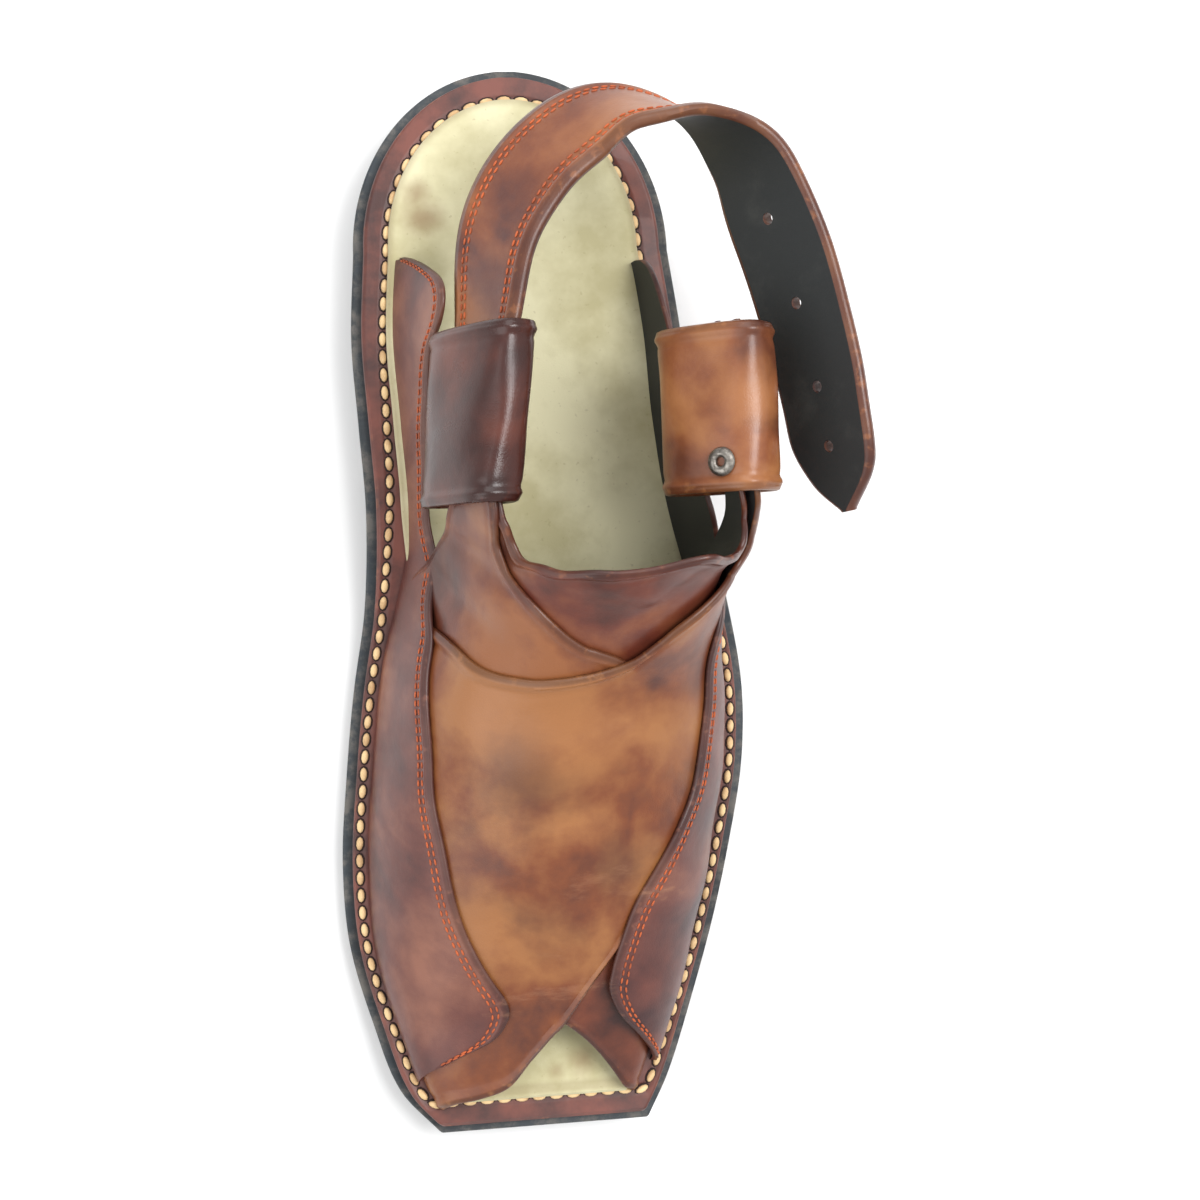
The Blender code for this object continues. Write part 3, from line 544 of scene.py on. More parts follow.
class NodeSheet:
    """A material's nodes, with short ways to add them."""

    def __init__(self, name: str) -> None:
        """Makes a material of that name with an empty node tree."""
        self.material = bpy.data.materials.new(name)
        self.material.use_nodes = True
        self.nodes = self.material.node_tree.nodes
        self.links = self.material.node_tree.links
        self.nodes.clear()
        self.place = self.add("ShaderNodeTexCoord").outputs["Object"]

    def add(self, kind: str, settings: dict | None = None, inputs: dict | None = None) -> bpy.types.Node:
        """Adds any node.

        Args:
            kind: The node's type.
            settings: Properties to set first. Key "stops" fills a colour ramp.
            inputs: Values or links by socket name or number.

        Returns:
            The node.
        """
        node = self.nodes.new(kind)
        for name, value in (settings or {}).items():
            if name == "stops":
                ramp = node.color_ramp
                while len(ramp.elements) < len(value):
                    ramp.elements.new(1.0)
                for element, (position, colour) in zip(ramp.elements, value):
                    element.position = position
                    element.color = colour
            else:
                setattr(node, name, value)
        for name, value in (inputs or {}).items():
            socket = node.inputs[name]
            if isinstance(value, Value):
                self.links.new(value.socket, socket)
            elif isinstance(value, bpy.types.NodeSocket):
                self.links.new(value, socket)
            else:
                socket.default_value = value
        return node

    def attribute(self, name: str) -> Value:
        """Reads a number kept on the mesh."""
        node = self.add("ShaderNodeAttribute", {"attribute_name": name})
        return Value(self, node.outputs["Fac"])

    def noise(self, scale: float, detail: float = 4.0, rough: float = 0.55, twist: float = 0.0,
              place: bpy.types.NodeSocket | None = None) -> Value:
        """Adds a noise on the object's own coordinates.

        Args:
            scale: Cells a metre.
            detail: Octaves.
            rough: Strength of the finer octaves.
            twist: Distortion.
            place: Coordinates, where they aren't the object's own.

        Returns:
            The noise, about 0.5 on average.
        """
        node = self.add("ShaderNodeTexNoise", {}, {
            "Vector": place or self.place, "Scale": scale, "Detail": detail, "Roughness": rough,
            "Distortion": twist})
        return Value(self, node.outputs["Fac"])

    def cells(self, scale: float) -> Value:
        """Adds a cell pattern's distance to its borders.

        Args:
            scale: Cells a metre.

        Returns:
            The distance, 0 at a border.
        """
        node = self.add("ShaderNodeTexVoronoi", {"feature": "DISTANCE_TO_EDGE"},
                        {"Vector": self.place, "Scale": scale})
        return Value(self, node.outputs["Distance"])

    def stretched(self, scale: tuple[float, float, float]) -> bpy.types.NodeSocket:
        """Stretches the object's own coordinates by three factors."""
        node = self.add("ShaderNodeMapping", {}, {"Vector": self.place, "Scale": scale})
        return node.outputs["Vector"]

    def blob(self, spot: Spot) -> Value:
        """Marks a soft round place.

        Args:
            spot: The place and its radius.

        Returns:
            1 in the middle, 0 outside.
        """
        node = self.add("ShaderNodeVectorMath", {"operation": "DISTANCE"},
                        {0: self.place, 1: (spot.x, spot.y, spot.z)})
        wobble = (self.noise(90.0, 3.0) - 0.5) * spot.radius * 1.1
        return (1 - (Value(self, node.outputs["Value"]) + wobble).rise(0.0, spot.radius)) * spot.strength

    def ramp(self, value: Value, stops: Sequence[tuple[float, tuple]]) -> bpy.types.NodeSocket:
        """Turns a number into a colour.

        Args:
            value: The number.
            stops: Positions and colours.

        Returns:
            The colour.
        """
        return self.add("ShaderNodeValToRGB", {"stops": list(stops)}, {0: value}).outputs["Color"]

    def mix(self, share: Value | float, first: object, second: object) -> bpy.types.NodeSocket:
        """Mixes two colours.

        Args:
            share: How much of the second.
            first: Colour or link.
            second: Colour or link.

        Returns:
            The mixed colour.
        """
        node = self.add("ShaderNodeMix", {"data_type": "RGBA"}, {0: share, 6: first, 7: second})
        return node.outputs[2]

    def bump(self, height: Value, strength: float, distance: float,
             under: bpy.types.NodeSocket | None = None) -> bpy.types.NodeSocket:
        """Adds relief.

        Args:
            height: Relief as a share of the distance.
            strength: How strongly it shows.
            distance: Depth in metres.
            under: Relief that this one lies on.

        Returns:
            The normal.
        """
        inputs = {"Height": height, "Strength": strength, "Distance": distance}
        if under is not None:
            inputs["Normal"] = under
        return self.add("ShaderNodeBump", {}, inputs).outputs["Normal"]

    def close(self, inputs: dict) -> bpy.types.Material:
        """Ends the material with its surface shader.

        Args:
            inputs: Values and links of the shader.

        Returns:
            The material.
        """
        shader = self.add("ShaderNodeBsdfPrincipled", {}, inputs)
        output = self.add("ShaderNodeOutputMaterial")
        self.links.new(shader.outputs[0], output.inputs["Surface"])
        return self.material


@dataclass(frozen=True)
class LeatherFinish:
    """Antiqued leather with a fine grain, darker cuts, painted highlight spots, and rims lighter from rubbing and
    from a painted highlight.
    """

    name: str
    light: tuple
    middle: tuple
    dark: tuple
    spots: tuple[Spot, ...] = ()
    painted_highlights: tuple[Spot, ...] = ()
    balance: float = 0.0
    roughness: float = 0.40
    edge_dark: float = 0.55
    edge_width: float = 0.0016
    scuffs: float = 0.25

    def material(self) -> bpy.types.Material:
        """Builds the leather.

        Returns:
            The material.
        """
        sheet = NodeSheet(self.name)
        patina = sheet.noise(26.0, 5.0, 0.5, 0.6) * 0.75 + sheet.noise(95.0, 4.0) * 0.25 + self.balance
        colour = sheet.ramp(patina, [(0.36, self.dark), (0.49, self.middle), (0.62, self.light)])
        for spot in self.spots:
            colour = sheet.mix(sheet.blob(spot), colour, self.dark)
        # Painted highlights: light spots that stand in for light falling on the leather.
        for highlight_spot in self.painted_highlights:
            colour = sheet.mix(sheet.blob(highlight_spot), colour, self.light)
        edge = sheet.attribute("edge")
        cut = (1 - edge.rise(0.0002, self.edge_width)) * self.edge_dark
        colour = sheet.mix(cut, colour, srgb(46, 22, 16))
        # Rims lighter partly from rubbing and partly as a painted highlight on the rolled edge.
        rubbed_rim_and_highlight = sheet.noise(340.0, 3.0).rise(0.55, 0.72) * (1 - edge.rise(0.0006, 0.0030)) * 0.5
        colour = sheet.mix(rubbed_rim_and_highlight, colour, self.light)
        scuff = sheet.noise(16.0, 8.0, 0.72, 0.0, sheet.stretched((1.0, 3.5, 1.0))).rise(0.62, 0.74)
        colour = sheet.mix(scuff * self.scuffs, colour, srgb(168, 120, 88))
        grain = sheet.cells(1150.0).rise(0.0, 0.16)
        pores = sheet.noise(2600.0, 2.0)
        folds = sheet.noise(60.0, 3.0, 0.5, 0.4)
        normal = sheet.bump(grain * 0.7 + pores * 0.3, 0.16, 0.00012)
        normal = sheet.bump(folds, 0.35, 0.0012, normal)
        gloss = self.roughness + (sheet.noise(120.0, 4.0) - 0.5) * 0.22 + scuff * 0.12
        return sheet.close({"Base Color": colour, "Roughness": gloss, "Normal": normal,
                            "Coat Weight": 0.12, "Coat Roughness": 0.28, "IOR": 1.48})


@dataclass(frozen=True)
class LiningFinish:
    """Thin black lining leather, dusty and matt."""

    name: str
    colour: tuple = srgb(33, 36, 37)
    dust: tuple = srgb(78, 78, 74)

    def material(self) -> bpy.types.Material:
        """Builds the lining.

        Returns:
            The material.
        """
        sheet = NodeSheet(self.name)
        dusty = sheet.noise(55.0, 7.0, 0.68).rise(0.50, 0.76) * 0.35
        colour = sheet.mix(dusty, self.colour, self.dust)
        normal = sheet.bump(sheet.noise(1500.0, 3.0), 0.22, 0.00015)
        return sheet.close({"Base Color": colour, "Roughness": 0.62 + dusty * 0.3, "Normal": normal})


@dataclass(frozen=True)
class SuedeFinish:
    """Cream suede of the footbed, with stains and painted shade along its rim, where the upper stands on it."""

    name: str
    colour: tuple = srgb(214, 208, 172)
    shade: tuple = srgb(184, 176, 136)
    stain: tuple = srgb(120, 78, 44)
    stains: tuple[Spot, ...] = (
        Spot(0.0236, 0.0005, 0.024, 0.008, 0.55), Spot(0.0250, -0.006, 0.024, 0.005, 0.5),
        Spot(-0.0106, 0.2311, 0.019, 0.007, 0.55), Spot(-0.0030, 0.2340, 0.019, 0.004, 0.45),
    )

    def material(self) -> bpy.types.Material:
        """Builds the suede.

        Returns:
            The material.
        """
        sheet = NodeSheet(self.name)
        colour = sheet.ramp(sheet.noise(32.0, 5.0, 0.6), [(0.38, self.shade), (0.60, self.colour)])
        for stain in self.stains:
            colour = sheet.mix(sheet.blob(stain), colour, self.stain)
        # Painted shade along the footbed's rim, beside the upper.
        rim = (1 - sheet.attribute("edge").rise(0.0, 0.0024)) * 0.4
        colour = sheet.mix(rim, colour, srgb(120, 96, 66))
        fleck = sheet.noise(700.0, 2.0).rise(0.66, 0.74) * 0.3
        colour = sheet.mix(fleck, colour, srgb(150, 136, 100))
        nap = sheet.noise(1900.0, 4.0, 0.7) * 0.6 + sheet.noise(210.0, 4.0) * 0.4
        return sheet.close({"Base Color": colour, "Roughness": 0.90, "Sheen Weight": 0.25,
                            "Sheen Roughness": 0.5, "Normal": sheet.bump(nap, 0.30, 0.00035)})


@dataclass(frozen=True)
class WeltFinish:
    """Waxed sole leather of the midsole, with painted shade in its stitch recess."""

    name: str
    colour: tuple = srgb(112, 58, 46)
    dark: tuple = srgb(64, 32, 28)

    def material(self) -> bpy.types.Material:
        """Builds the welt leather.

        Returns:
            The material.
        """
        sheet = NodeSheet(self.name)
        colour = sheet.ramp(sheet.noise(70.0, 6.0, 0.6), [(0.36, self.dark), (0.60, self.colour)])
        worn = sheet.noise(240.0, 4.0).rise(0.56, 0.70) * (1 - sheet.attribute("edge").rise(0.0, 0.0012))
        colour = sheet.mix(worn * 0.5, colour, srgb(160, 104, 78))
        channel = sheet.attribute("seam")
        # Painted shade: darker towards the stitch line, in its recess.
        colour = sheet.mix((1 - channel.rise(0.0004, 0.0017)) * 0.55, colour, self.dark)
        fibres = sheet.noise(420.0, 4.0, 0.6, 0.0, sheet.stretched((1.0, 0.25, 1.0)))
        normal = sheet.bump(fibres, 0.25, 0.0002)
        normal = sheet.bump(channel.rise(0.0002, 0.0018), 0.6, 0.0005, normal)
        return sheet.close({"Base Color": colour, "Roughness": 0.46 + worn * 0.2, "Normal": normal,
                            "Coat Weight": 0.08})


@dataclass(frozen=True)
class RubberFinish:
    """Black sole rubber with brushed streaks, dust and a cut stitch channel with painted shade in it."""

    name: str
    colour: tuple = srgb(40, 48, 54)
    dust: tuple = srgb(122, 116, 108)
    streaks: float = 0.0
    glue: Spot | None = None

    def material(self) -> bpy.types.Material:
        """Builds the rubber.

        Returns:
            The material.
        """
        sheet = NodeSheet(self.name)
        cloud = sheet.noise(24.0, 6.0, 0.6)
        colour = sheet.ramp(cloud, [(0.36, srgb(26, 31, 35)), (0.62, self.colour)])
        brushed = sheet.noise(120.0, 6.0, 0.7, 0.0, sheet.stretched((0.10, 6.0, 1.0)))
        colour = sheet.mix(brushed.rise(0.45, 0.80) * self.streaks, colour, srgb(70, 80, 86))
        specks = sheet.noise(950.0, 3.0, 0.6).rise(0.66, 0.76) * sheet.noise(40.0, 4.0).rise(0.45, 0.65)
        rim = (1 - sheet.attribute("edge").rise(0.0, 0.0045)) * sheet.noise(150.0, 5.0, 0.7).rise(0.42, 0.66)
        dusty = (specks * 0.7).larger(rim * 0.6)
        colour = sheet.mix(dusty, colour, self.dust)
        if self.glue is not None:
            colour = sheet.mix(sheet.blob(self.glue), colour, srgb(112, 106, 72))
        groove = sheet.attribute("seam").rise(0.0003, 0.0014)
        # Painted shade in the stitch channel.
        colour = sheet.mix((1 - groove) * 0.6, colour, srgb(16, 18, 20))
        normal = sheet.bump(brushed, 0.10 + 0.20 * self.streaks, 0.0003)
        normal = sheet.bump(groove, 0.7, 0.0008, normal)
        return sheet.close({"Base Color": colour, "Roughness": 0.58 + dusty * 0.3 - cloud * 0.12,
                            "Normal": normal})


@dataclass(frozen=True)
class ThreadFinish:
    """Waxed thread with its twist showing; also the painted shade under the welt stitches."""

    name: str
    colour: tuple
    dark: tuple
    roughness: float = 0.65

    def material(self) -> bpy.types.Material:
        """Builds the thread.

        Returns:
            The material.
        """
        sheet = NodeSheet(self.name)
        soil = sheet.noise(160.0, 4.0).rise(0.40, 0.68)
        colour = sheet.mix(soil * 0.6, self.colour, self.dark)
        return sheet.close({"Base Color": colour, "Roughness": self.roughness,
                            "Normal": sheet.bump(sheet.noise(2400.0, 2.0), 0.4, 0.00025)})


@dataclass(frozen=True)
class MetalFinish:
    """Dulled grey metal with darker tarnish."""

    name: str
    colour: tuple = srgb(150, 145, 138)

    def material(self) -> bpy.types.Material:
        """Builds the metal.

        Returns:
            The material.
        """
        sheet = NodeSheet(self.name)
        tarnish = sheet.noise(900.0, 5.0, 0.6).rise(0.42, 0.66)
        colour = sheet.mix(tarnish * 0.6, self.colour, srgb(78, 72, 66))
        return sheet.close({"Base Color": colour, "Metallic": 1.0, "Roughness": 0.30 + tarnish * 0.3,
                            "Normal": sheet.bump(sheet.noise(1300.0, 3.0), 0.15, 0.0001)})


@dataclass(frozen=True)
class FloorFinish:
    """Plain pale floor."""

    name: str = "pale_floor"
    colour: tuple = (0.86, 0.86, 0.86, 1.0)

    def material(self) -> bpy.types.Material:
        """Builds the floor's surface."""
        return NodeSheet(self.name).close({"Base Color": self.colour, "Roughness": 0.85})


def make_piece(name: str, points: np.ndarray, faces: Sequence[Sequence[int]],
               materials: Sequence[bpy.types.Material], places: Sequence[int] | None = None,
               marks: dict[str, np.ndarray] | None = None) -> bpy.types.Object:
    """Makes a smooth piece from points and faces.

    Args:
        name: The piece's name.
        points: Its points.
        faces: Point numbers of each face.
        materials: Its materials.
        places: Material number of each face.
        marks: Numbers kept on each point.

    Returns:
        The object, at the origin.
    """
    mesh = bpy.data.meshes.new(name)
    mesh.from_pydata([tuple(p) for p in points], [], [tuple(f) for f in faces])
    for material in materials:
        mesh.materials.append(material)
    if places is not None:
        mesh.polygons.foreach_set("material_index", np.asarray(places, np.int32))
    for mark, numbers in (marks or {}).items():
        layer = mesh.attributes.new(mark, "FLOAT", "POINT")
        layer.data.foreach_set("value", np.asarray(numbers, np.float32))
    mesh.update()
    shape = bmesh.new()
    shape.from_mesh(mesh)
    if shape.calc_volume(signed=True) < 0:
        bmesh.ops.reverse_faces(shape, faces=shape.faces)
    shape.to_mesh(mesh)
    shape.free()
    mesh.shade_smooth()
    mesh.set_sharp_from_angle(angle=math.radians(SHARP_DEGREES))
    item = bpy.data.objects.new(name, mesh)
    bpy.context.scene.collection.objects.link(item)
    return item


def settle(item: bpy.types.Object, nodes: Sequence[str]) -> bpy.types.Object:
    """Ties a piece to the frame.

    Args:
        item: The piece.
        nodes: Solids that it stands for.

    Returns:
        The piece.
    """
    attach(item, BODY)
    if nodes:
        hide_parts(*nodes)
    LOG.info("piece %s: %d faces, stands for %s", item.name, len(item.data.polygons),
             list(nodes) or "nothing")
    return item


@dataclass
class Sheet:
    """A leather sheet from a grid of inner points, with round turned edges.

    Rows run along the sheet and columns across it, closed or open along.
    """

    base: np.ndarray
    normal: np.ndarray
    wall: float = 0.0018
    rim: float = 0.00045
    rim_place: float = 0.0012
    rim_width: float = 0.0008
    closed: bool = False
    across: np.ndarray = field(init=False)
    outer: np.ndarray = field(init=False)
    edge: np.ndarray = field(init=False)

    def __post_init__(self) -> None:
        """Works out the outer face with its rolled rims."""
        flat = self.base + self.normal * self.wall
        steps = np.linalg.norm(np.diff(flat, axis=1), axis=2)
        self.across = np.concatenate([np.zeros((len(flat), 1)), np.cumsum(steps, axis=1)], axis=1)
        self.edge = np.minimum(self.across, self.across[:, -1:] - self.across)
        bead = np.exp(-((self.edge - self.rim_place) / self.rim_width) ** 2) * self.rim
        dip = np.exp(-((self.edge - self.rim_place - 2.4 * self.rim_width) / self.rim_width) ** 2)
        self.outer = flat + self.normal * (bead - dip * self.rim * 0.5)[..., None]

    def rings(self) -> tuple[np.ndarray, np.ndarray]:
        """Joins the outer face, both turned edges and the inner face into rings.

        Returns:
            Points of each ring, and each point's distance from the edge.
        """
        columns = [self.outer[:, j] for j in range(self.outer.shape[1])]
        marks = [self.edge[:, j] for j in range(self.edge.shape[1])]
        for near, beyond in ((-1, -2), (0, 1)):
            side = unit(self.base[:, near] - self.base[:, beyond])
            middle = (self.outer[:, near] + self.base[:, near]) / 2
            half = (self.outer[:, near] - self.base[:, near]) / 2
            radius = np.linalg.norm(half, axis=1, keepdims=True)
            angles = (45, 90, 135) if near == -1 else (135, 90, 45)
            arc = [middle + half * math.cos(math.radians(a)) + side * radius * math.sin(math.radians(a))
                   for a in angles]
            if near == -1:
                columns += arc + [self.base[:, j] for j in range(self.base.shape[1] - 1, -1, -1)]
                marks += [np.zeros(len(self.base))] * 3
                marks += [self.edge[:, j] for j in range(self.base.shape[1] - 1, -1, -1)]
            else:
                columns += arc
                marks += [np.zeros(len(self.base))] * 3
        return np.stack(columns, axis=1), np.stack(marks, axis=1)

    def build(self, name: str, materials: Sequence[bpy.types.Material]) -> bpy.types.Object:
        """Makes the sheet's piece.

        Args:
            name: Its name.
            materials: Leather, and lining where it has one.

        Returns:
            The object.
        """
        points, marks = self.rings()
        rows, count = points.shape[:2]
        across = self.base.shape[1]
        faces, places = [], []
        for i in range(rows if self.closed else rows - 1):
            k = (i + 1) % rows
            for j in range(count):
                m = (j + 1) % count
                faces.append((i * count + j, i * count + m, k * count + m, k * count + j))
                lining = across + 3 <= j < 2 * across + 2
                places.append(Face.LINING.value if lining and len(materials) > 1 else Face.OUTER.value)
        if not self.closed:
            for i in (0, rows - 1):
                first, last = i * count, i * count + count - 1
                ladder = [(first + j, last - 3 - j) for j in range(across)]
                quads = [(a, b, d, c) for (a, c), (b, d) in zip(ladder[:-1], ladder[1:])]
                end = first + across
                quads.append((ladder[-1][0], end, end + 1, end + 2, ladder[-1][1]))
                quads.append((ladder[0][1], last - 2, last - 1, last, ladder[0][0]))
                faces += [q if i else tuple(reversed(q)) for q in quads]
                places += [Face.OUTER.value] * len(quads)
        return make_piece(name, points.reshape(-1, 3), faces, materials, places,
                          {"edge": marks.reshape(-1)})

    def line(self, offset: float, far: bool = True, start: float = 0.0, end: float = 1.0,
             lift: float = 0.0) -> tuple[np.ndarray, np.ndarray]:
        """Gives a line on the outer face, parallel to an edge.

        Args:
            offset: Distance from the edge.
            far: Whether it is the edge of the last column.
            start: Share of the rows where the line starts.
            end: Share where it ends.
            lift: Height over the face.

        Returns:
            Points and outward directions.
        """
        rows = np.arange(int(start * (len(self.base) - 1)), int(round(end * (len(self.base) - 1))) + 1)
        points, normals = [], []
        for i in rows:
            total = self.across[i, -1]
            at = total - offset if far else offset
            if at < 0 or at > total:
                continue
            points.append([np.interp(at, self.across[i], self.outer[i, :, k]) for k in range(3)])
            normals.append([np.interp(at, self.across[i], self.normal[i, :, k]) for k in range(3)])
        normals = unit(np.array(normals))
        return np.array(points) + normals * lift, normals


@dataclass
class StitchRun:
    """A row of equal stitches laid along a line by geometry nodes."""

    name: str
    points: np.ndarray
    normals: np.ndarray
    pitch: float
    length: float
    width: float
    height: float
    material: bpy.types.Material
    closed: bool = False
    jitter: float = 0.06
    seed: int = 7
    slant: float = 0.0

    def tree(self) -> bpy.types.NodeTree:
        """Builds the nodes that lay stitches along a line of edges.

        Returns:
            The node group.
        """
        group = bpy.data.node_groups.new(f"{self.name}_nodes", "GeometryNodeTree")
        face = group.interface
        face.new_socket("Geometry", in_out="INPUT", socket_type="NodeSocketGeometry")
        for title in ("Pitch", "Length", "Width", "Height", "Jitter", "Slant"):
            face.new_socket(title, in_out="INPUT", socket_type="NodeSocketFloat")
        face.new_socket("Seed", in_out="INPUT", socket_type="NodeSocketInt")
        face.new_socket("Thread", in_out="INPUT", socket_type="NodeSocketMaterial")
        face.new_socket("Geometry", in_out="OUTPUT", socket_type="NodeSocketGeometry")
        nodes, link = group.nodes, group.links.new

        def add(kind: str, **settings: object) -> bpy.types.Node:
            """Adds a node with its settings."""
            node = nodes.new(kind)
            for key, value in settings.items():
                setattr(node, key, value)
            return node

        given = add("NodeGroupInput")
        curve = add("GeometryNodeMeshToCurve")
        link(given.outputs["Geometry"], curve.inputs[0])
        even = add("GeometryNodeResampleCurve", mode="LENGTH")
        link(curve.outputs[0], even.inputs["Curve"])
        link(given.outputs["Pitch"], even.inputs["Length"])
        ball = add("GeometryNodeMeshUVSphere")
        ball.inputs["Segments"].default_value = 10
        ball.inputs["Rings"].default_value = 6
        ball.inputs["Radius"].default_value = 0.5
        size = add("ShaderNodeCombineXYZ")
        for title, axis in (("Length", "X"), ("Width", "Y"), ("Height", "Z")):
            link(given.outputs[title], size.inputs[axis])
        shaped = add("GeometryNodeTransform")
        link(ball.outputs["Mesh"], shaped.inputs["Geometry"])
        link(size.outputs[0], shaped.inputs["Scale"])
        tangent = add("GeometryNodeInputTangent")
        up = add("GeometryNodeInputNamedAttribute", data_type="FLOAT_VECTOR")
        up.inputs["Name"].default_value = "up"
        ahead = add("FunctionNodeAlignRotationToVector", axis="X")
        link(tangent.outputs[0], ahead.inputs["Vector"])
        stood = add("FunctionNodeAlignRotationToVector", axis="Z", pivot_axis="X")
        link(ahead.outputs[0], stood.inputs["Rotation"])
        link(up.outputs[0], stood.inputs["Vector"])
        low = add("ShaderNodeMath", operation="MULTIPLY")
        link(given.outputs["Jitter"], low.inputs[0])
        low.inputs[1].default_value = -1.0
        chance = add("FunctionNodeRandomValue", data_type="FLOAT")
        link(low.outputs[0], chance.inputs[2])
        link(given.outputs["Jitter"], chance.inputs[3])
        link(given.outputs["Seed"], chance.inputs["Seed"])
        lean = add("ShaderNodeMath", operation="ADD")
        link(chance.outputs[1], lean.inputs[0])
        link(given.outputs["Slant"], lean.inputs[1])
        turn = add("ShaderNodeCombineXYZ")
        link(lean.outputs[0], turn.inputs["Z"])
        spin = add("FunctionNodeEulerToRotation")
        link(turn.outputs[0], spin.inputs[0])
        turned = add("FunctionNodeRotateRotation", rotation_space="LOCAL")
        link(stood.outputs[0], turned.inputs[0])
        link(spin.outputs[0], turned.inputs[1])
        laid = add("GeometryNodeInstanceOnPoints")
        link(even.outputs[0], laid.inputs["Points"])
        link(shaped.outputs[0], laid.inputs["Instance"])
        link(turned.outputs[0], laid.inputs["Rotation"])
        real = add("GeometryNodeRealizeInstances")
        link(laid.outputs[0], real.inputs[0])
        dressed = add("GeometryNodeSetMaterial")
        link(real.outputs[0], dressed.inputs["Geometry"])
        link(given.outputs["Thread"], dressed.inputs["Material"])
        result = add("NodeGroupOutput")
        link(dressed.outputs[0], result.inputs[0])
        return group

    def build(self) -> bpy.types.Object:
        """Lays the stitches and turns them into a plain mesh.

        Returns:
            The object.
        """
        count = len(self.points)
        edges = [(i, i + 1) for i in range(count - 1)] + ([(count - 1, 0)] if self.closed else [])
        mesh = bpy.data.meshes.new(f"{self.name}_line")
        mesh.from_pydata([tuple(p) for p in self.points], edges, [])
        mesh.attributes.new("up", "FLOAT_VECTOR", "POINT").data.foreach_set(
            "vector", np.asarray(self.normals, np.float32).ravel())
        item = bpy.data.objects.new(self.name, mesh)
        bpy.context.scene.collection.objects.link(item)
        modifier = item.modifiers.new("stitches", "NODES")
        group = self.tree()
        modifier.node_group = group
        values = {"Pitch": self.pitch, "Length": self.length, "Width": self.width, "Height": self.height,
                  "Jitter": self.jitter, "Slant": self.slant, "Seed": self.seed, "Thread": self.material}
        for socket in group.interface.items_tree:
            if socket.item_type == "SOCKET" and socket.in_out == "INPUT" and socket.name in values:
                modifier[socket.identifier] = values[socket.name]
        graph = bpy.context.evaluated_depsgraph_get()
        made = bpy.data.meshes.new_from_object(item.evaluated_get(graph))
        item.modifiers.clear()
        item.data = made
        made.shade_smooth()
        return item


def seam_inset(along: np.ndarray) -> np.ndarray:
    """Gives the welt stitching's distance from the outline by the share of the length."""
    return between((0.0, 0.20, 0.36, 0.50, 0.85, 0.93, 1.0),
                   (0.0090, 0.0088, 0.0072, 0.0050, 0.0050, 0.0058, 0.0062), along)


def tread_inset(along: np.ndarray) -> np.ndarray:
    """Gives the tread stitching's distance from the outline by the share of the length."""
    return between((0.0, 0.20, 0.45, 0.85, 1.0), (0.0105, 0.0100, 0.0082, 0.0075, 0.0064), along)


def nearest(points: np.ndarray, line: np.ndarray) -> np.ndarray:
    """Gives each point's distance to a closed line in plan.

    Args:
        points: Points, of which X and Y count.
        line: Points of the line.

    Returns:
        The distances.
    """
    start, end = line, np.roll(line, -1, axis=0)
    run = end - start
    squares = np.maximum((run ** 2).sum(axis=1), 1e-18)
    found = np.full(len(points), 9.0)
    for part in range(0, len(points), 2000):
        chunk = points[part:part + 2000, None, :2] - start[None]
        share = np.clip((chunk * run).sum(axis=2) / squares, 0, 1)
        gaps = np.linalg.norm(chunk - share[..., None] * run, axis=2)
        found[part:part + 2000] = gaps.min(axis=1)
    return found


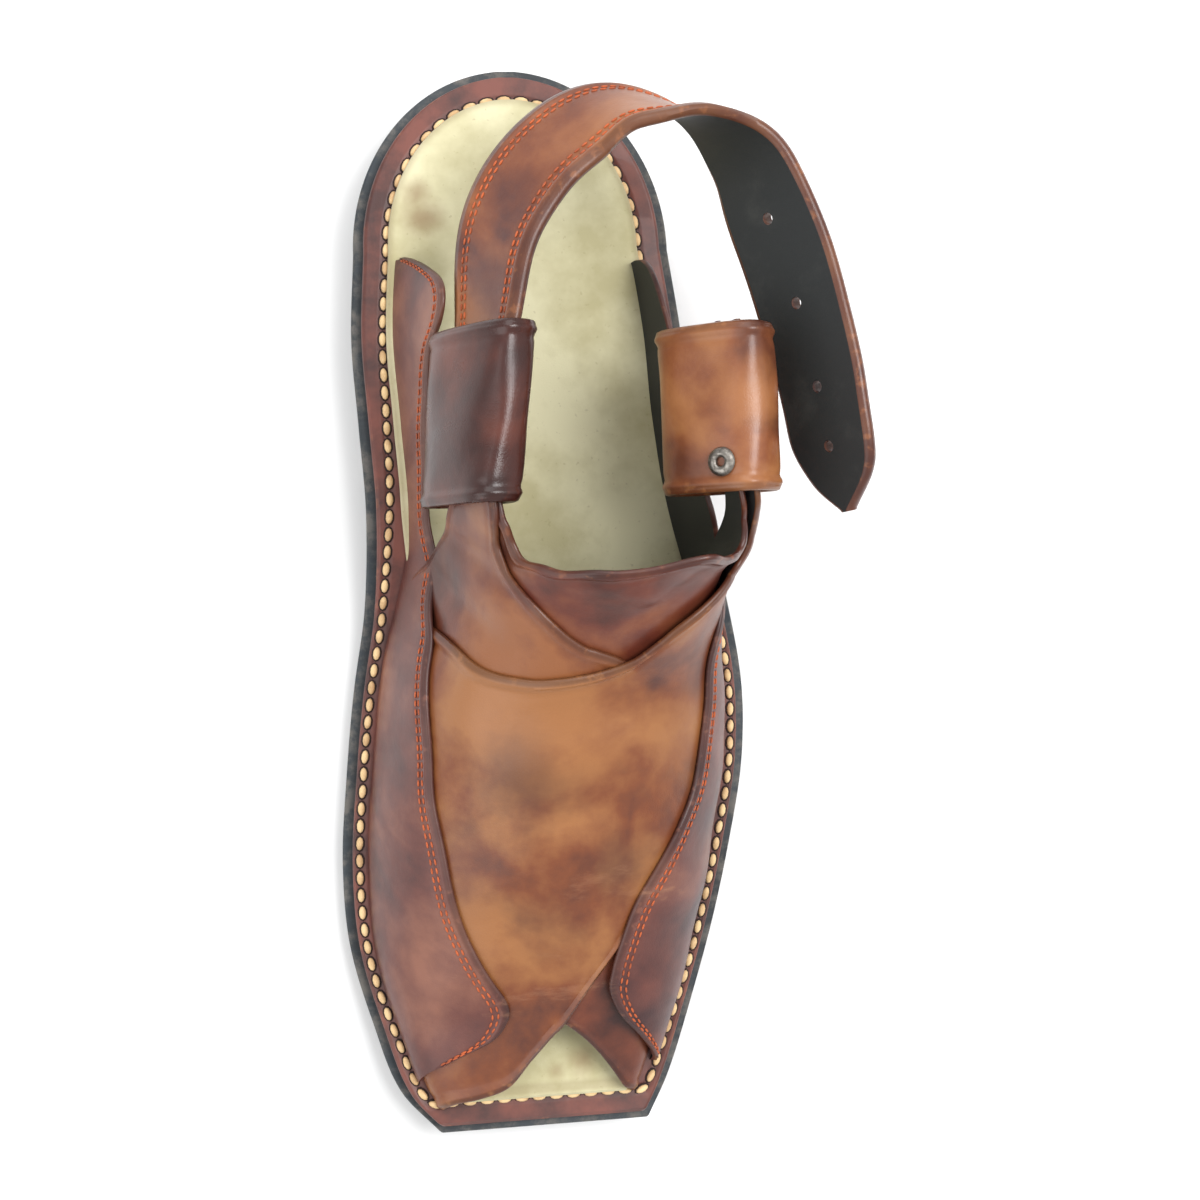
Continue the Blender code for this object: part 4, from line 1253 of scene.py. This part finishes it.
@dataclass
class Plate:
    """A layer of the sole between two levels, with rounded edges."""

    name: str
    low: Callable[[np.ndarray], np.ndarray]
    high: Callable[[np.ndarray], np.ndarray]
    inset: Callable[[np.ndarray], np.ndarray]
    start_inset: float
    start: float = 0.0
    end: float = 1.0
    round_low: float = 0.0006
    round_high: float = 0.0006
    seam: Callable[[np.ndarray], np.ndarray] | None = None
    seam_toe: float = 0.009
    slant: float = 0.0
    across: int = 44
    rows: int = 190

    def build(self, material: bpy.types.Material) -> bpy.types.Object:
        """Makes the layer's piece.

        Args:
            material: Its finish.

        Returns:
            The object.
        """
        turn = np.linspace(0.04, 1, self.rows // 4) * math.pi / 2
        first = self.start_inset / LAST.length
        heel = first + (LAST.heel_round - first) * (1 - np.cos(turn))
        rest = np.linspace(LAST.heel_round, self.end, self.rows - len(heel))[1:]
        along = np.concatenate([heel, rest, [self.end]])
        pull = np.zeros(len(along))
        pull[-1] = 1.0
        along[-2] = self.end - self.round_high / LAST.length
        low, high, inset = self.low(along), self.high(along), self.inset(along)
        share = (1 - np.cos(np.linspace(0, math.pi, self.across))) / 2
        rings = []
        slant = self.slant * ease(along, 0.20, self.end)
        for i, place in enumerate(along):
            y = place * LAST.length - LAST.heel_rest
            right = float(LAST.half_width(place, Side.MEDIAL, inset[i]))
            left = -float(LAST.half_width(place, Side.LATERAL, inset[i]))
            under = low[i] + pull[i] * self.round_low
            over = high[i] - pull[i] * self.round_high
            small = min(1.0, (right - left) / 0.01)
            ring = []
            steps = (0.0, 0.30, 0.62, 1.0)
            for extra in steps:
                cut = self.round_low * small * (1 - math.sin(extra * math.pi / 2))
                ring.append((right - cut, under + self.round_low * small * (1 - math.cos(extra * math.pi / 2))))
            for extra in reversed(steps):
                cut = self.round_high * small * (1 - math.sin(extra * math.pi / 2))
                ring.append((right - cut, over - self.round_high * small * (1 - math.cos(extra * math.pi / 2))))
            edge_top = self.round_high * small
            inner = [(right - edge_top + (left + 2 * edge_top - right) * s, over) for s in share[1:-1]]
            mirror = [(left + (right - px), pz) for px, pz in reversed(ring)]
            edge_low = self.round_low * small
            below = [(left + edge_low + (right - 2 * edge_low - left) * s, under) for s in share[1:-1]]
            whole = ring + inner + mirror + below
            rings.append([(px, y + slant[i] * px, pz) for px, pz in whole])
        points = np.array(rings)
        rows, count = points.shape[:2]
        faces = [(i * count + j, i * count + (j + 1) % count, (i + 1) * count + (j + 1) % count,
                  (i + 1) * count + j) for i in range(rows - 1) for j in range(count)]
        faces.append(tuple(reversed(range(count))))
        faces.append(tuple(range((rows - 1) * count, rows * count)))
        flat = points.reshape(-1, 3)
        outline = LAST.outline_loop(self.inset, float(self.inset(np.array([1.0]))[0]) + 0.0001)
        marks = {"edge": nearest(flat, outline), "seam": np.full(len(flat), 0.02)}
        if self.seam is not None:
            marks["seam"] = nearest(flat, LAST.outline_loop(self.seam, self.seam_toe))
        return make_piece(self.name, flat, faces, [material], None, marks)


def constant(value: float) -> Callable[[np.ndarray], np.ndarray]:
    """Makes a function that gives the same number everywhere.

    Args:
        value: The number.

    Returns:
        The function.
    """
    return lambda along: np.full_like(np.asarray(along, float), value)


@dataclass
class Sole:
    """The rubber tread and heel, the welted midsole and the suede footbed."""

    midsole_inset: float = 0.0028
    insole_heel_inset: float = 0.0094
    insole_fore_inset: float = 0.0118
    lift_inset: float = 0.0012
    heel_front: float = 0.36
    heel_slant: float = 0.15
    welt_pitch: float = 0.0048
    welt_stitch: tuple[float, float, float] = (0.0037, 0.0019, 0.0015)
    tread_pitch: float = 0.0060
    tread_stitch: tuple[float, float, float] = (0.0052, 0.0014, 0.0009)
    tread_breaks: tuple[float, float] = (0.345, 0.40)
    tread_toe: float = 0.0064
    welt_toe: float = 0.0090
    welt_lift: float = 0.0003
    tread_lift: float = -0.0001

    def footbed_inset(self, along: np.ndarray) -> np.ndarray:
        """Gives the footbed's distance from the outline by the share of the length."""
        wider = self.insole_fore_inset - self.insole_heel_inset
        return self.insole_heel_inset + wider * ease(along, 0.40, 0.50)

    def stitched(self, inset: Callable[[np.ndarray], np.ndarray], toe: float, lift: float,
                 level: Callable[[np.ndarray], np.ndarray], up: float) -> tuple[np.ndarray, np.ndarray]:
        """Gives a closed stitch line on a layer of the sole.

        Args:
            inset: Distance from the outline.
            toe: Distance from the toe's end.
            lift: Height over the layer.
            level: The layer's height.
            up: 1 for a top face, -1 for an underside.

        Returns:
            Points and outward directions.
        """
        plan = LAST.outline_loop(inset, toe, 500)
        along = (plan[:, 1] + LAST.heel_rest) / LAST.length
        points = np.column_stack([plan, level(along) + lift])
        return points, np.tile(UP * up, (len(points), 1))

    def underside(self, along: np.ndarray) -> np.ndarray:
        """Gives the lowest rubber's height: the heel's under the heel, else the outsole's."""
        return np.where(np.asarray(along) < self.heel_front, 0.0, LAST.camber(along))

    def build(self) -> None:
        """Builds and dresses the layers and their stitching."""
        glue = Spot(0.018, 0.096, 0.0, 0.012, 0.6)
        rubber = RubberFinish("sole_rubber", streaks=0.25, glue=glue).material()
        heel_rubber = RubberFinish("heel_rubber", streaks=0.75).material()
        settle(Plate("outsole_rubber", LAST.camber, LAST.outsole_top, constant(0.0), 0.0,
                     round_low=0.0012, round_high=0.0007, seam=tread_inset,
                     seam_toe=self.tread_toe).build(rubber), ["outsole"])
        settle(Plate("heel_block", constant(0.0), constant(LAST.heel_lift), constant(self.lift_inset),
                     self.lift_inset, end=self.heel_front, round_low=0.0010, seam=tread_inset,
                     slant=self.heel_slant).build(heel_rubber), ["heel_lift"])
        settle(Plate("welted_midsole", LAST.midsole_level, LAST.midsole_top,
                     constant(self.midsole_inset), self.midsole_inset, end=1 - self.midsole_inset / LAST.length,
                     round_low=0.0004, round_high=0.0011, seam=seam_inset,
                     seam_toe=self.welt_toe).build(WeltFinish("welt_leather").material()),
               ["midsole"])
        settle(Plate("suede_footbed", LAST.upper_level, LAST.footbed_top,
                     self.footbed_inset, self.insole_heel_inset, end=1 - self.insole_heel_inset / LAST.length,
                     round_low=0.0003, round_high=0.0007).build(SuedeFinish("cream_suede").material()),
               ["insole"])
        cream = ThreadFinish("cream_thread", srgb(228, 196, 146), srgb(168, 126, 84)).material()
        # Painted shade: dark blobs under each welt stitch stand in for the shade in its recess.
        painted_recess_shade = ThreadFinish("stitch_recess_painted_shade", srgb(44, 22, 18), srgb(30, 16, 14), 0.8).material()
        grey = ThreadFinish("grey_thread", srgb(150, 150, 144), srgb(86, 84, 80)).material()
        line, ups = self.stitched(seam_inset, self.welt_toe, 0.0, LAST.midsole_top, 1.0)
        length, width, height = self.welt_stitch
        settle(StitchRun("welt_recess_painted_shade", line, ups, self.welt_pitch, length * 1.28, width * 1.5, 0.0004, painted_recess_shade,
                         True, 0.0).build(), [])
        line, ups = self.stitched(seam_inset, self.welt_toe, self.welt_lift, LAST.midsole_top, 1.0)
        settle(StitchRun("welt_stitches", line, ups, self.welt_pitch, length, width, height, cream,
                         True, 0.07, 3).build(), [])
        line, downs = self.stitched(tread_inset, self.tread_toe, self.tread_lift, self.underside, -1.0)
        places = (line[:, 1] + LAST.heel_rest) / LAST.length
        sides = line[:, 0] > 0
        heel, fore = places <= self.tread_breaks[0], places >= self.tread_breaks[1]
        for number, (keep, side) in enumerate(((fore, True), (fore, False), (heel, True), (heel, False))):
            chosen = keep & (sides == side)
            length, width, height = self.tread_stitch
            settle(StitchRun(f"tread_stitches_{number + 1}", line[chosen], downs[chosen], self.tread_pitch,
                             length, width, height, grey, False, 0.05, 11 + number, 0.12).build(), [])


@dataclass
class Upper:
    """The two crossed straps, the throat band and the two side panels."""

    wall: float = 0.0015
    rises: tuple[float, float, float] = (0.0000, 0.0015, 0.0030)
    fore_rise: float = 0.0046
    foot_rear_rise: float = 0.0012
    edge_rear_rise: float = 0.0004
    rows: int = 170
    columns: int = 46
    seam_offsets: tuple[float, float] = (0.0024, 0.0040)
    seam_pitch: float = 0.0023
    seam_stitch: tuple[float, float, float] = (0.0018, 0.00062, 0.0005)

    def spread(self) -> np.ndarray:
        """Gives the shares of the columns, closer together at both edges."""
        return (1 - np.cos(np.linspace(0, math.pi, self.columns))) / 2

    def grid(self, along: np.ndarray, girth: np.ndarray, rise: np.ndarray | float, rim: float) -> Sheet:
        """Makes a sheet over the last.

        Args:
            along: Shares of the length for each grid point.
            girth: Places round the last.
            rise: Height of the inner face over the last.
            rim: Height of the rolled rims.

        Returns:
            The sheet.
        """
        normals = LAST.normals(along, girth)
        points = LAST.points(along, girth)
        free = 1 - ease(np.abs(girth), 0.90, 1.0)
        lift = np.broadcast_to(rise, along.shape) + relief(points) * free
        return Sheet(points + normals * lift[..., None], normals, self.wall, rim)

    def strap(self, table: Sequence[Strip], rise: float, rim: float, ripple: float = 0.0) -> Sheet:
        """Makes a strap from its table.

        Args:
            table: Rows of the strap.
            rise: Height over the last.
            rim: Height of the rolled rims.
            ripple: Waviness of the throat edge, as a share of the length.

        Returns:
            The sheet.
        """
        share = np.linspace(0, 1, self.rows)
        part = self.spread()[None]
        read = {name: along_rows(table, name, share)[:, None] for name in Strip._fields}
        wave = ripple * (np.sin(share * 31) * 0.6 + np.sin(share * 53 + 1.0) * 0.4)[:, None] * (1 - part) ** 2
        along = read["throat_along"] + (read["toe_along"] - read["throat_along"]) * part + wave
        girth = read["throat_girth"] + (read["toe_girth"] - read["throat_girth"]) * part
        return self.grid(along, girth, rise, rim)

    def panel(self, table: Sequence[Edge], side: Side) -> Sheet:
        """Makes a side panel from its table.

        Args:
            table: Rows of the panel.
            side: Its side of the foot.

        Returns:
            The sheet.
        """
        share = np.linspace(0, 1, self.rows)
        part = self.spread()[None]
        foot, along_edge, girth_edge = (along_rows(table, name, share)[:, None] for name in Edge._fields)
        fore = ease(along_edge, 0.44, 0.54)
        foot_rise = self.foot_rear_rise + (self.fore_rise - self.foot_rear_rise) * fore
        edge_rise = self.edge_rear_rise + (self.fore_rise - self.edge_rear_rise) * fore
        along = foot + (along_edge - foot) * part
        girth = side.value * (LAST.skirt_girth + (girth_edge - LAST.skirt_girth) * part)
        return self.grid(along, girth, foot_rise + (edge_rise - foot_rise) * part, 0.0004)

    def sew(self, name: str, sheet: Sheet, far: bool, start: float, end: float,
            thread: bpy.types.Material) -> None:
        """Sews a double row beside an edge.

        Args:
            name: Name of the seam.
            sheet: The sheet that it is on.
            far: Whether it follows the last column's edge.
            start: Share of the rows where it starts.
            end: Share where it ends.
            thread: Its thread.
        """
        length, width, height = self.seam_stitch
        for number, offset in enumerate(self.seam_offsets):
            line, normals = sheet.line(offset, far, start, end, 0.0001)
            settle(StitchRun(f"{name}_{number + 1}", line, normals, self.seam_pitch, length, width, height,
                             thread, False, 0.08, 21 + number).build(), [])

    def build(self, thread: bpy.types.Material, lining: bpy.types.Material) -> None:
        """Builds and dresses the upper.

        Args:
            thread: Thread of the double rows.
            lining: Lining of the sheets.
        """
        tan, brown, plum = srgb(150, 98, 56), srgb(116, 62, 34), srgb(62, 32, 30)
        # The vamp's light spots are painted highlights.
        vamp = LeatherFinish(
            "vamp_leather", tan, brown, plum,
            (Spot(0.0056, 0.1490, 0.050, 0.020, 0.65), Spot(-0.0195, 0.1722, 0.040, 0.016, 0.55),
             Spot(-0.0017, 0.1874, 0.034, 0.016, 0.55), Spot(0.018, 0.170, 0.034, 0.020, 0.45)),
            (Spot(-0.0105, 0.1351, 0.052, 0.024, 0.65), Spot(-0.034, 0.140, 0.038, 0.024, 0.55)), 0.02).material()
        under = LeatherFinish("under_strap_leather", srgb(140, 86, 50), srgb(104, 52, 34), srgb(54, 26, 22),
                              (Spot(0.026, 0.092, 0.040, 0.020, 0.6),), (), 0.0).material()
        # The throat band's dark spot is painted shade under and in front of the medial sleeve.
        band = LeatherFinish("throat_leather", srgb(134, 78, 48), srgb(98, 46, 32), srgb(44, 20, 18),
                             (Spot(0.008, 0.088, 0.060, 0.018, 0.7),), (), -0.02, 0.36).material()
        # The panel's light spot is a painted highlight.
        side = LeatherFinish("panel_leather", srgb(132, 84, 66), srgb(98, 54, 46), srgb(62, 34, 34),
                             (), (Spot(-0.046, 0.176, 0.024, 0.014, 0.6),), -0.01, 0.44, scuffs=0.4).material()
        sheets = {
            "throat_band": (self.strap(THROAT_BAND, self.rises[0], 0.0005, 0.0028), band),
            "under_strap": (self.strap(UNDER_STRAP, self.rises[1], 0.0004), under),
            "top_strap": (self.strap(TOP_STRAP, self.rises[2], 0.00055), vamp),
            "lateral_panel": (self.panel(LATERAL_EDGE, Side.LATERAL), side),
            "medial_panel": (self.panel(MEDIAL_EDGE, Side.MEDIAL), side),
        }
        for name, (sheet, leather) in sheets.items():
            settle(sheet.build(name, [leather, lining]), ["upper"])
        self.sew("lateral_panel_seam", sheets["lateral_panel"][0], True, 0.44, 0.98, thread)
        self.sew("medial_panel_seam", sheets["medial_panel"][0], True, 0.03, 0.99, thread)


@dataclass
class Sleeves:
    """The two leather sleeves round the tails, and the eyelet."""

    wall: float = 0.0020
    squareness: float = 3.0
    around: int = 128
    columns: int = 40
    flange: float = 0.0036
    bore: float = 0.0011
    eyelet_along: float = 0.84
    eyelet_angle: float = 76.0

    def section(self, table: Sequence[SleeveRow], share: np.ndarray, angle: np.ndarray,
                depth: float = 0.0) -> np.ndarray:
        """Gives points of a sleeve.

        Args:
            table: Its sections.
            share: Places along it.
            angle: Places round it.
            depth: Depth under its outer face.

        Returns:
            The points.
        """
        read = {name: along_rows(table, name, share) for name in SleeveRow._fields}
        power = 2 / self.squareness
        wide = np.sign(np.cos(angle)) * np.abs(np.cos(angle)) ** power * (read["half_width"] - depth)
        deep = np.sign(np.sin(angle)) * np.abs(np.sin(angle)) ** power * (read["half_depth"] - depth)
        lean = np.radians(read["lean"])
        across = read["across"] + wide * np.cos(lean) - deep * np.sin(lean)
        up = read["up"] + wide * np.sin(lean) + deep * np.cos(lean)
        return np.stack([-across, read["along"] - LAST.heel_rest, up], axis=-1)

    def sheet(self, table: Sequence[SleeveRow]) -> Sheet:
        """Makes a sleeve's closed sheet.

        Args:
            table: Its sections.

        Returns:
            The sheet.
        """
        turns = np.linspace(0, 2 * math.pi, self.around, endpoint=False)[:, None]
        part = ((1 - np.cos(np.linspace(0, math.pi, self.columns))) / 2)[None]
        turns, part = np.broadcast_arrays(turns, part)
        outer = self.section(table, part, turns)
        inner = self.section(table, part, turns, self.wall)
        slack = (np.sin(turns * 3 + part * 5) * 0.00025 + np.sin(turns * 5 - part * 9) * 0.00015)[..., None]
        outward = unit(outer - inner)
        return Sheet(inner + outward * slack, outward, self.wall, 0.0005, closed=True)

    def eyelet(self, material: bpy.types.Material) -> bpy.types.Object:
        """Turns the eyelet's profile on the lateral sleeve.

        Args:
            material: Its metal.

        Returns:
            The object.
        """
        share, angle = np.array(self.eyelet_along), np.array(math.radians(self.eyelet_angle))
        place = Vector(self.section(LATERAL_SLEEVE, share, angle))
        step = math.radians(4)
        around = Vector(self.section(LATERAL_SLEEVE, share, angle + step)
                        - self.section(LATERAL_SLEEVE, share, angle - step))
        outward = around.cross(Vector((0, 1, 0))).normalized()
        if outward.z < 0:
            outward.negate()
        matrix = Matrix.Translation(place) @ outward.to_track_quat("Z", "Y").to_matrix().to_4x4()
        profile = [(self.bore, -0.0012), (self.bore, 0.0008), (self.bore * 1.2, 0.0013), (self.bore * 1.7, 0.0015),
                   (self.flange * 0.62, 0.0015), (self.flange * 0.82, 0.0012), (self.flange * 0.95, 0.0008),
                   (self.flange, 0.0003), (self.flange * 0.9, 0.0001), (self.bore * 1.6, -0.0001),
                   (self.bore * 1.6, -0.0012)]
        turns, count = 48, len(profile)
        points = [matrix @ Vector((r * math.cos(2 * math.pi * k / turns), r * math.sin(2 * math.pi * k / turns), z))
                  for k in range(turns) for r, z in profile]
        faces = [(k * count + j, k * count + (j + 1) % count, ((k + 1) % turns) * count + (j + 1) % count,
                  ((k + 1) % turns) * count + j) for k in range(turns) for j in range(count)]
        return make_piece("eyelet_ring", np.array(points), faces, [material])

    def build(self, lining: bpy.types.Material) -> None:
        """Builds and dresses both sleeves and the eyelet.

        Args:
            lining: Lining of the sleeves.
        """
        # The medial loop's light spot is a painted highlight along its top fold.
        dark = LeatherFinish("medial_loop_leather", srgb(98, 48, 34), srgb(62, 28, 22), srgb(34, 16, 14),
                             (), (Spot(0.0085, 0.062, 0.076, 0.007, 0.8),), -0.03, 0.30, 0.3).material()
        # On the lateral loop the dark spot is painted shade on the inner half of its upper face, and the light spot
        # a painted highlight on its crest.
        tan = LeatherFinish("lateral_loop_leather", srgb(158, 104, 62), srgb(126, 72, 42), srgb(70, 34, 24),
                            (Spot(-0.034, 0.072, 0.070, 0.010, 0.6),),
                            (Spot(-0.052, 0.056, 0.078, 0.012, 0.8),), 0.03, 0.34, 0.35).material()
        settle(self.sheet(MEDIAL_SLEEVE).build("medial_sleeve", [dark, lining]), ["medial_loop"])
        settle(self.sheet(LATERAL_SLEEVE).build("lateral_sleeve", [tan, lining]), ["lateral_loop"])
        settle(self.eyelet(MetalFinish("eyelet_metal").material()), ["eyelet"])


@dataclass
class BackStrap:
    """The loose ankle strap with its lining, seams and holes."""

    width: float = 0.0285
    thickness: float = 0.0032
    hole: float = 0.0015
    holes: tuple[float, ...] = (0.672, 0.742, 0.812, 0.882)
    rows: int = 220
    columns: int = 30

    def place(self, share: np.ndarray) -> tuple[np.ndarray, np.ndarray, np.ndarray]:
        """Gives the strap's middle line.

        Args:
            share: Places along it.

        Returns:
            Points, directions of its width and outward directions.
        """
        def plan(at: np.ndarray) -> np.ndarray:
            """Gives the middle line in plan."""
            at = np.clip(at, 0, 1)
            return np.stack([-along_rows(BACK_STRAP, "across", at), along_rows(BACK_STRAP, "along", at),
                             np.zeros_like(at)], axis=-1)

        share = np.asarray(share, float)
        middle = plan(share) + np.array([0, -LAST.heel_rest, 0])
        middle[..., 2] = along_rows(BACK_STRAP, "up", share)
        ahead = unit(plan(share + 0.01) - plan(share - 0.01))
        inward = np.cross(ahead, UP)
        lean = np.radians(along_rows(BACK_STRAP, "lean", share))[..., None]
        wide = UP * np.cos(lean) + inward * np.sin(lean)
        return middle, wide, -inward * np.cos(lean) + UP * np.sin(lean)

    def build(self, thread: bpy.types.Material, lining: bpy.types.Material) -> None:
        """Builds and dresses the strap.

        Args:
            thread: Thread of its seams.
            lining: Its lining.
        """
        share = np.linspace(0, 1, self.rows)
        middle, wide, outward = self.place(share)
        part = ((1 - np.cos(np.linspace(0, math.pi, self.columns))) / 2 - 0.5)[None, :, None]
        width = (along_rows(BACK_STRAP, "width", share) * self.width - self.thickness)[:, None, None]
        base = middle[:, None] + wide[:, None] * np.maximum(width, 0.0008) * part
        normal = np.broadcast_to(outward[:, None], base.shape)
        slack = (np.sin(share * 34) * 0.0003 + np.sin(share * 61 + 2) * 0.0002)[:, None, None]
        sheet = Sheet(base + normal * (slack - self.thickness / 2), normal, self.thickness, 0.0004)
        # The strap's light spot is a painted highlight.
        leather = LeatherFinish("strap_leather", srgb(148, 92, 54), srgb(116, 62, 36), srgb(60, 30, 34),
                                (Spot(0.010, 0.026, 0.066, 0.014, 0.6), Spot(0.004, 0.004, 0.068, 0.012, 0.5)),
                                (Spot(-0.030, -0.018, 0.068, 0.016, 0.6),), 0.02).material()
        strap = sheet.build("ankle_strap", [leather, lining])
        for number, at in enumerate(self.holes):
            centre, _, out = (Vector(v) for v in self.place(np.array(at)))
            bpy.ops.mesh.primitive_cylinder_add(vertices=24, radius=self.hole, depth=0.02)
            punch = bpy.context.object
            punch.matrix_world = Matrix.Translation(centre) @ out.to_track_quat("Z", "Y").to_matrix().to_4x4()
            cut = strap.modifiers.new(f"hole_{number + 1}", "BOOLEAN")
            cut.operation, cut.solver, cut.object = "DIFFERENCE", "EXACT", punch
            graph = bpy.context.evaluated_depsgraph_get()
            made = bpy.data.meshes.new_from_object(strap.evaluated_get(graph))
            strap.modifiers.clear()
            strap.data = made
            bpy.data.objects.remove(punch)
        settle(strap, ["back_strap"])
        for number, (offset, far) in enumerate(((0.0026, True), (0.0042, True), (0.0026, False), (0.0042, False))):
            line, normals = sheet.line(offset, far, 0.04, 0.93, 0.0001)
            settle(StitchRun(f"strap_seam_{number + 1}", line, normals, 0.0023, 0.0018, 0.00062, 0.0005, thread,
                             False, 0.08, 31 + number).build(), [])


@dataclass
class Studio:
    """The floor, the lights and the camera."""

    eye: tuple[float, float, float] = (0.0366, 0.096, 0.485)
    aim: tuple[float, float, float] = (-0.0200, 0.105, 0.020)
    up: tuple[float, float, float] = (-0.040, -0.999, 0.0)
    field_of_view: float = 38.6

    def light(self, name: str, place: tuple[float, float, float], size: float, power: float) -> None:
        """Adds a soft light that faces the shoe.

        Args:
            name: Its name.
            place: Where it hangs.
            size: Its side.
            power: Its watts.
        """
        lamp = bpy.data.lights.new(name, "AREA")
        lamp.shape, lamp.size, lamp.energy = "SQUARE", size, power
        item = bpy.data.objects.new(name, lamp)
        item.location = place
        item.rotation_euler = (Vector(self.aim) - Vector(place)).to_track_quat("-Z", "Y").to_euler()
        bpy.context.scene.collection.objects.link(item)

    def build(self) -> None:
        """Builds the floor, the lights and the camera."""
        mesh = bpy.data.meshes.new("floor")
        mesh.from_pydata([(-3, -3, 0), (3, -3, 0), (3, 3, 0), (-3, 3, 0)], [], [(0, 1, 2, 3)])
        mesh.materials.append(FloorFinish().material())
        floor = bpy.data.objects.new("floor", mesh)
        bpy.context.scene.collection.objects.link(floor)
        self.light("key_light", (-0.45, -0.10, 0.95), 0.55, 9.0)
        self.light("fill_light", (0.70, 0.40, 0.70), 0.90, 4.0)
        self.light("rear_light", (0.10, -0.80, 0.80), 0.80, 4.0)
        world = bpy.data.worlds.new("studio_world")
        world.use_nodes = True
        world.node_tree.nodes["Background"].inputs["Color"].default_value = (1, 1, 1, 1)
        world.node_tree.nodes["Background"].inputs["Strength"].default_value = 0.75
        scene = bpy.context.scene
        scene.world = world
        scene.view_settings.view_transform = "Standard"
        camera = bpy.data.cameras.new("camera")
        camera.lens_unit = "FOV"
        camera.angle = math.radians(self.field_of_view)
        item = bpy.data.objects.new("camera", camera)
        back = -(Vector(self.aim) - Vector(self.eye)).normalized()
        right = Vector(self.up).cross(back).normalized()
        top = back.cross(right)
        turn = Matrix((right, top, back)).transposed()
        item.matrix_world = Matrix.Translation(Vector(self.eye)) @ turn.to_4x4()
        scene.collection.objects.link(item)
        scene.camera = item


def main() -> None:
    """Builds the shoe and its stage."""
    logging.basicConfig(level=logging.INFO, format="%(name)s %(message)s")
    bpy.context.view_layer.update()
    thread = ThreadFinish("orange_thread", srgb(184, 88, 42), srgb(120, 56, 32)).material()
    lining = LiningFinish("black_lining").material()
    Sole().build()
    Upper().build(thread, lining)
    Sleeves().build(lining)
    BackStrap().build(thread, lining)
    Studio().build()
    bpy.context.view_layer.update()


if __name__ == "__main__":
    main()
